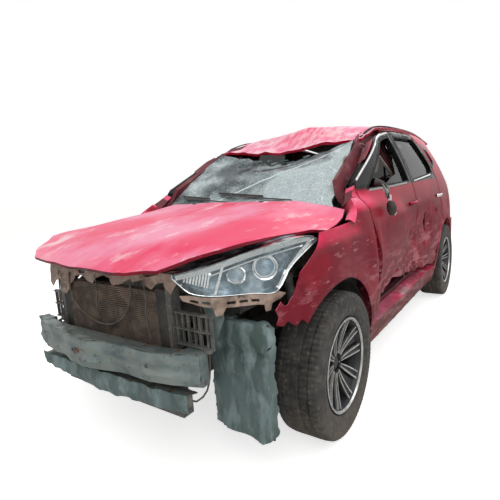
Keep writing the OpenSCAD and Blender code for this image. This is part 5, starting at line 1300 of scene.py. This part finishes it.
# inside the cabin
def pad(name, centre, size, lean=0.0, sharp=0.45, crown=0.12, stands=(), seams=2):
    # a closed cushion: sides pulled in between its corners, crowned on top, with sewn channels
    cx, cy, cz = centre
    wx, wy, wz = (v / 2 for v in size)
    nu, nv = 56, 34
    verts, faces = [], []
    for i in range(nv + 1):
        b = -math.pi / 2 + math.pi * i / nv
        for j in range(nu):
            a = 2 * math.pi * j / nu
            cb, sb, ca, sa = math.cos(b), math.sin(b), math.cos(a), math.sin(a)
            x = math.copysign(abs(ca) ** sharp, ca) * abs(cb) ** (sharp * 0.8)
            y = math.copysign(abs(sa) ** sharp, sa) * abs(cb) ** (sharp * 0.8)
            z = math.copysign(abs(sb) ** (sharp * 1.3), sb)
            waist = 1 - 0.05 * (1 - z * z) * (1 - min(1, abs(x * y)))
            groove = sum(7 * math.exp(-((x - 1.5 * (k + 0.5) / seams + 0.75) * wx / 7) ** 2) for k in range(seams))
            lift = crown * wz * (1 - x * x) * (1 - y * y)
            verts.append((x * wx * waist, y * wy * waist,
                    z * wz + (lift - groove * (abs(x) < 0.96)) * (1 if z > 0.3 else 0)))
        if i:
            for j in range(nu):
                k = (j + 1) % nu
                faces.append([(i - 1) * nu + j, (i - 1) * nu + k, i * nu + k, i * nu + j])
    faces = [list(range(nu))[::-1]] + faces + [list(range(nv * nu, nv * nu + nu))]
    v = np.array(verts)
    v = v + v * 0.004 * rumple(v, 60, 3)[:, None]
    c, s = math.cos(math.radians(lean)), math.sin(math.radians(lean))
    v = np.stack([v[:, 0], v[:, 1] * c - v[:, 2] * s, v[:, 1] * s + v[:, 2] * c], 1) + np.array([cx, cy, cz])
    put(name, [(v, faces)], seatCloth, "body", stands, angle=60)


seat = dict(aside=375, cushion=(420, 490, 120), back=(430, 480, 110), bolster=(66, 440, 110),
    backBolster=(62, 430, 110), headrest=(250, 180, 90), recline=74, rise=4, halfBolster=195, post=62)
first = ["seats"]
for s, side in sides:
    pad("seat_cushion_" + side, (s * seat["aside"], -20, 425), seat["cushion"], seat["rise"], stands=first, seams=3)
    first = []
    pad("seat_back_" + side, (s * seat["aside"], 320, 685), seat["back"], seat["recline"], seams=3)
    for k in (-1, 1):
        x, end = s * seat["aside"] + k * seat["halfBolster"], side + ("_outer" if k * s > 0 else "_inner")
        pad("seat_bolster_" + end, (x, -10, 450), seat["bolster"], seat["rise"], seams=0)
        pad("seat_back_bolster_" + end, (x, 300, 680), seat["backBolster"], seat["recline"], seams=0)
    pad("headrest_" + side, (s * seat["aside"], 402, 985), seat["headrest"], 80, seams=0)
    posts = [sweep([(x, 380, 900), (x, 392, 930), (x, 398, 960)], ring(6, 10), (0, 1, 0))
        for x in (s * seat["aside"] - seat["post"], s * seat["aside"] + seat["post"])]
    put("headrest_posts_" + side, posts, chrome, "body")
    x = s * seat["aside"]
    rails = [box(x + k - 14, x + k + 14, -250, 240, 300, 352, 2) for k in (-160, 160)]
    put("seat_base_" + side, [box(x - 180, x + 180, -220, 200, 352, 378, 6), *rails], darkSteel, "body",
        bevel=2)
pad("bench_cushion", (0, 705, 540), (1060, 360, 130), 4, sharp=0.3, seams=6)
for x, w, part in ((-270, 500, "left"), (270, 500, "right")):
    pad("bench_back_" + part, (x, 950, 800), (w, 420, 110), 76, sharp=0.35, seams=3)
    pad("bench_headrest_" + part, (x, 1022, 1040), (220, 90, 70), 80, seams=0)

hood = skin([(190, -640), (530, -640), (500, -520), (220, -520)],
    lambda x, y: (x, y, 1022 - 22 * ((x - 360) / 170) ** 2 + 0.1 * (y + 640)), 10, 18, hem=4)
screenBlock = turned(box(-120, 120, -9, 9, -70, 70, 3), (0, -570, 985), (1, 0, 0), (0, 0.96, 0.26),
    (0, -0.26, 0.96))
vents = [box(x - 50, x + 50, -566, -548, 900 + 11 * k, 904 + 11 * k, 0.5) for x in (-520, -130, 130, 540)
    for k in range(5)]
topPad = skin([(-615, -818), (615, -818), (600, -600), (-600, -600)], lambda x, y: (x, y, 1016 - 22 * (x / 615) ** 4
        - 16 * ramp(y, -680, -600)), 12, 26, hem=4, dent=lambda p, f: 2 * rumple(p, 90, 3))
put("dash_top", [topPad, hood], leather)
put("dash_screen_and_vents", [screenBlock] + vents, nylon, "body", bevel=1)
# the curtain bag, gone off and hanging limp along the left window
bag = skin([(-560, 0), (-300, 0), (0, 0), (180, 0), (190, -60), (60, -120), (-100, -96), (-260, -130), (-420, -80),
        (-570, -40)], lambda y, d: (596 + 0.05 * d + 9 * np.sin(y / 60), y, 1395 + 0.20 * (y + 560) * (y < -200)
        + 0.06 * (y + 200) * (y >= -200) + d - 70), 6, 22, facing=(1, 0, 0), hem=2,
    dent=lambda p, f: 7 * rumple(p, 80, 4))
bagPiece = put("curtain_airbag", [bag], headliner, "body")
loose = sweep([(628, -350, 1412), (640, -270, 1398), (652, -180, 1368), (668, -90, 1325), (684, -15, 1272),
        (702, 50, 1215), (720, 96, 1160), (732, 120, 1120)], flatBar(2, 11, 2, 9), (1, 0, 0))
put("torn_roof_trim_strip", [loose], headliner)
belt = sweep([(600, 250, 1300), (604, 252, 1150), (606, 250, 950), (608, 246, 700), (604, 236, 420)],
    flatBar(1, 24, 1, 24), (0, 1, 0))
put("seat_belt_left", [belt], rubber, "body")
hub = turned(lathe([(0.5, 32), (40, 30), (62, 20), (70, 6), (66, -10), (0.5, -10)], 36), (360, -424, 868),
    (1, 0, 0), (0, 0.407, -0.914), (0, 0.914, 0.407))
put("steering_hub_cover", [hub], leather, "steering_wheel")


# under the bonnet
engineTop = skin([(-250, -1560), (200, -1560), (220, -1260), (-240, -1250)],
    lambda x, y: (x, y, 872 - 14 * ((x + 20) / 240) ** 4), 16, 22, hem=4)
ribs = [sweep([(x, y, 874) for y in steps(-1530, -1290, 6)], ridge(8, 3, 5, 4))
    for x in (-180, -110, -40, 30, 100, 160)]
put("engine_cover", [engineTop] + ribs, nylon)
battery = [box(330, 520, -1620, -1450, 645, 840, 3), box(345, 505, -1605, -1465, 838, 856, 2)]
posts = [lathe([(0.5, 18), (9, 17), (10, 0), (0.5, 0)], 20, (x, -1500, 854)) for x in (365, 485)]
put("battery_box", battery, greyNylon, "body", bevel=3)
put("battery_posts", posts, steel, "body")
bottle = [sweep([(-560, -1330, 640), (-560, -1330, 700), (-556, -1332, 780), (-548, -1336, 838)], ring(60, 20, 0.8),
        (0, 1, 0), scale=[0.8, 1, 1, 0.7])]
put("coolant_bottle", bottle, lampWhite)
hoses = [sweep([(-300, -1560, 760), (-320, -1640, 775), (-300, -1740, 770), (-270, -1820, 772), (-255, -1862, 772)],
        ring(21, 12), (0, 0, 1)), sweep([(200, -1600, 560), (240, -1680, 520), (270, -1780, 470),
            (280, -1862, 440)], ring(21, 12), (0, 0, 1)),
    sweep([(-260, -1290, 820), (-330, -1250, 850), (-400, -1210, 850), (-450, -1150, 845)], ring(30, 14), (0, 0, 1),
        scale=[1, 1.08, 1, 1.1])]
put("engine_hoses", hoses, rubber)
print("cabin and engine dressed")

# finishes of the pieces that stay as they are
keptPieces = dict(floor_pan=innerEnamelShaded, engine_bay=darkSteel, bumper_beam=steel, front_carrier=greyNylon,
    radiator=core, engine=cast, dashboard=leather, front_subframe=darkSteel, rear_axle=darkSteel, exhaust=rustPipe,
    fuel_tank=nylon, arch_liners=nylon, knuckle_left=cast, knuckle_right=cast, steering_wheel=leather)
for name, material in keptPieces.items():
    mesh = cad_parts[name]
    mesh = mesh if hasattr(mesh, "material_slots") else mesh["object"]
    if not mesh.material_slots:
        mesh.data.materials.append(material)
    for slot in mesh.material_slots:
        slot.material = material

bpy.context.view_layer.update()
print("all made")
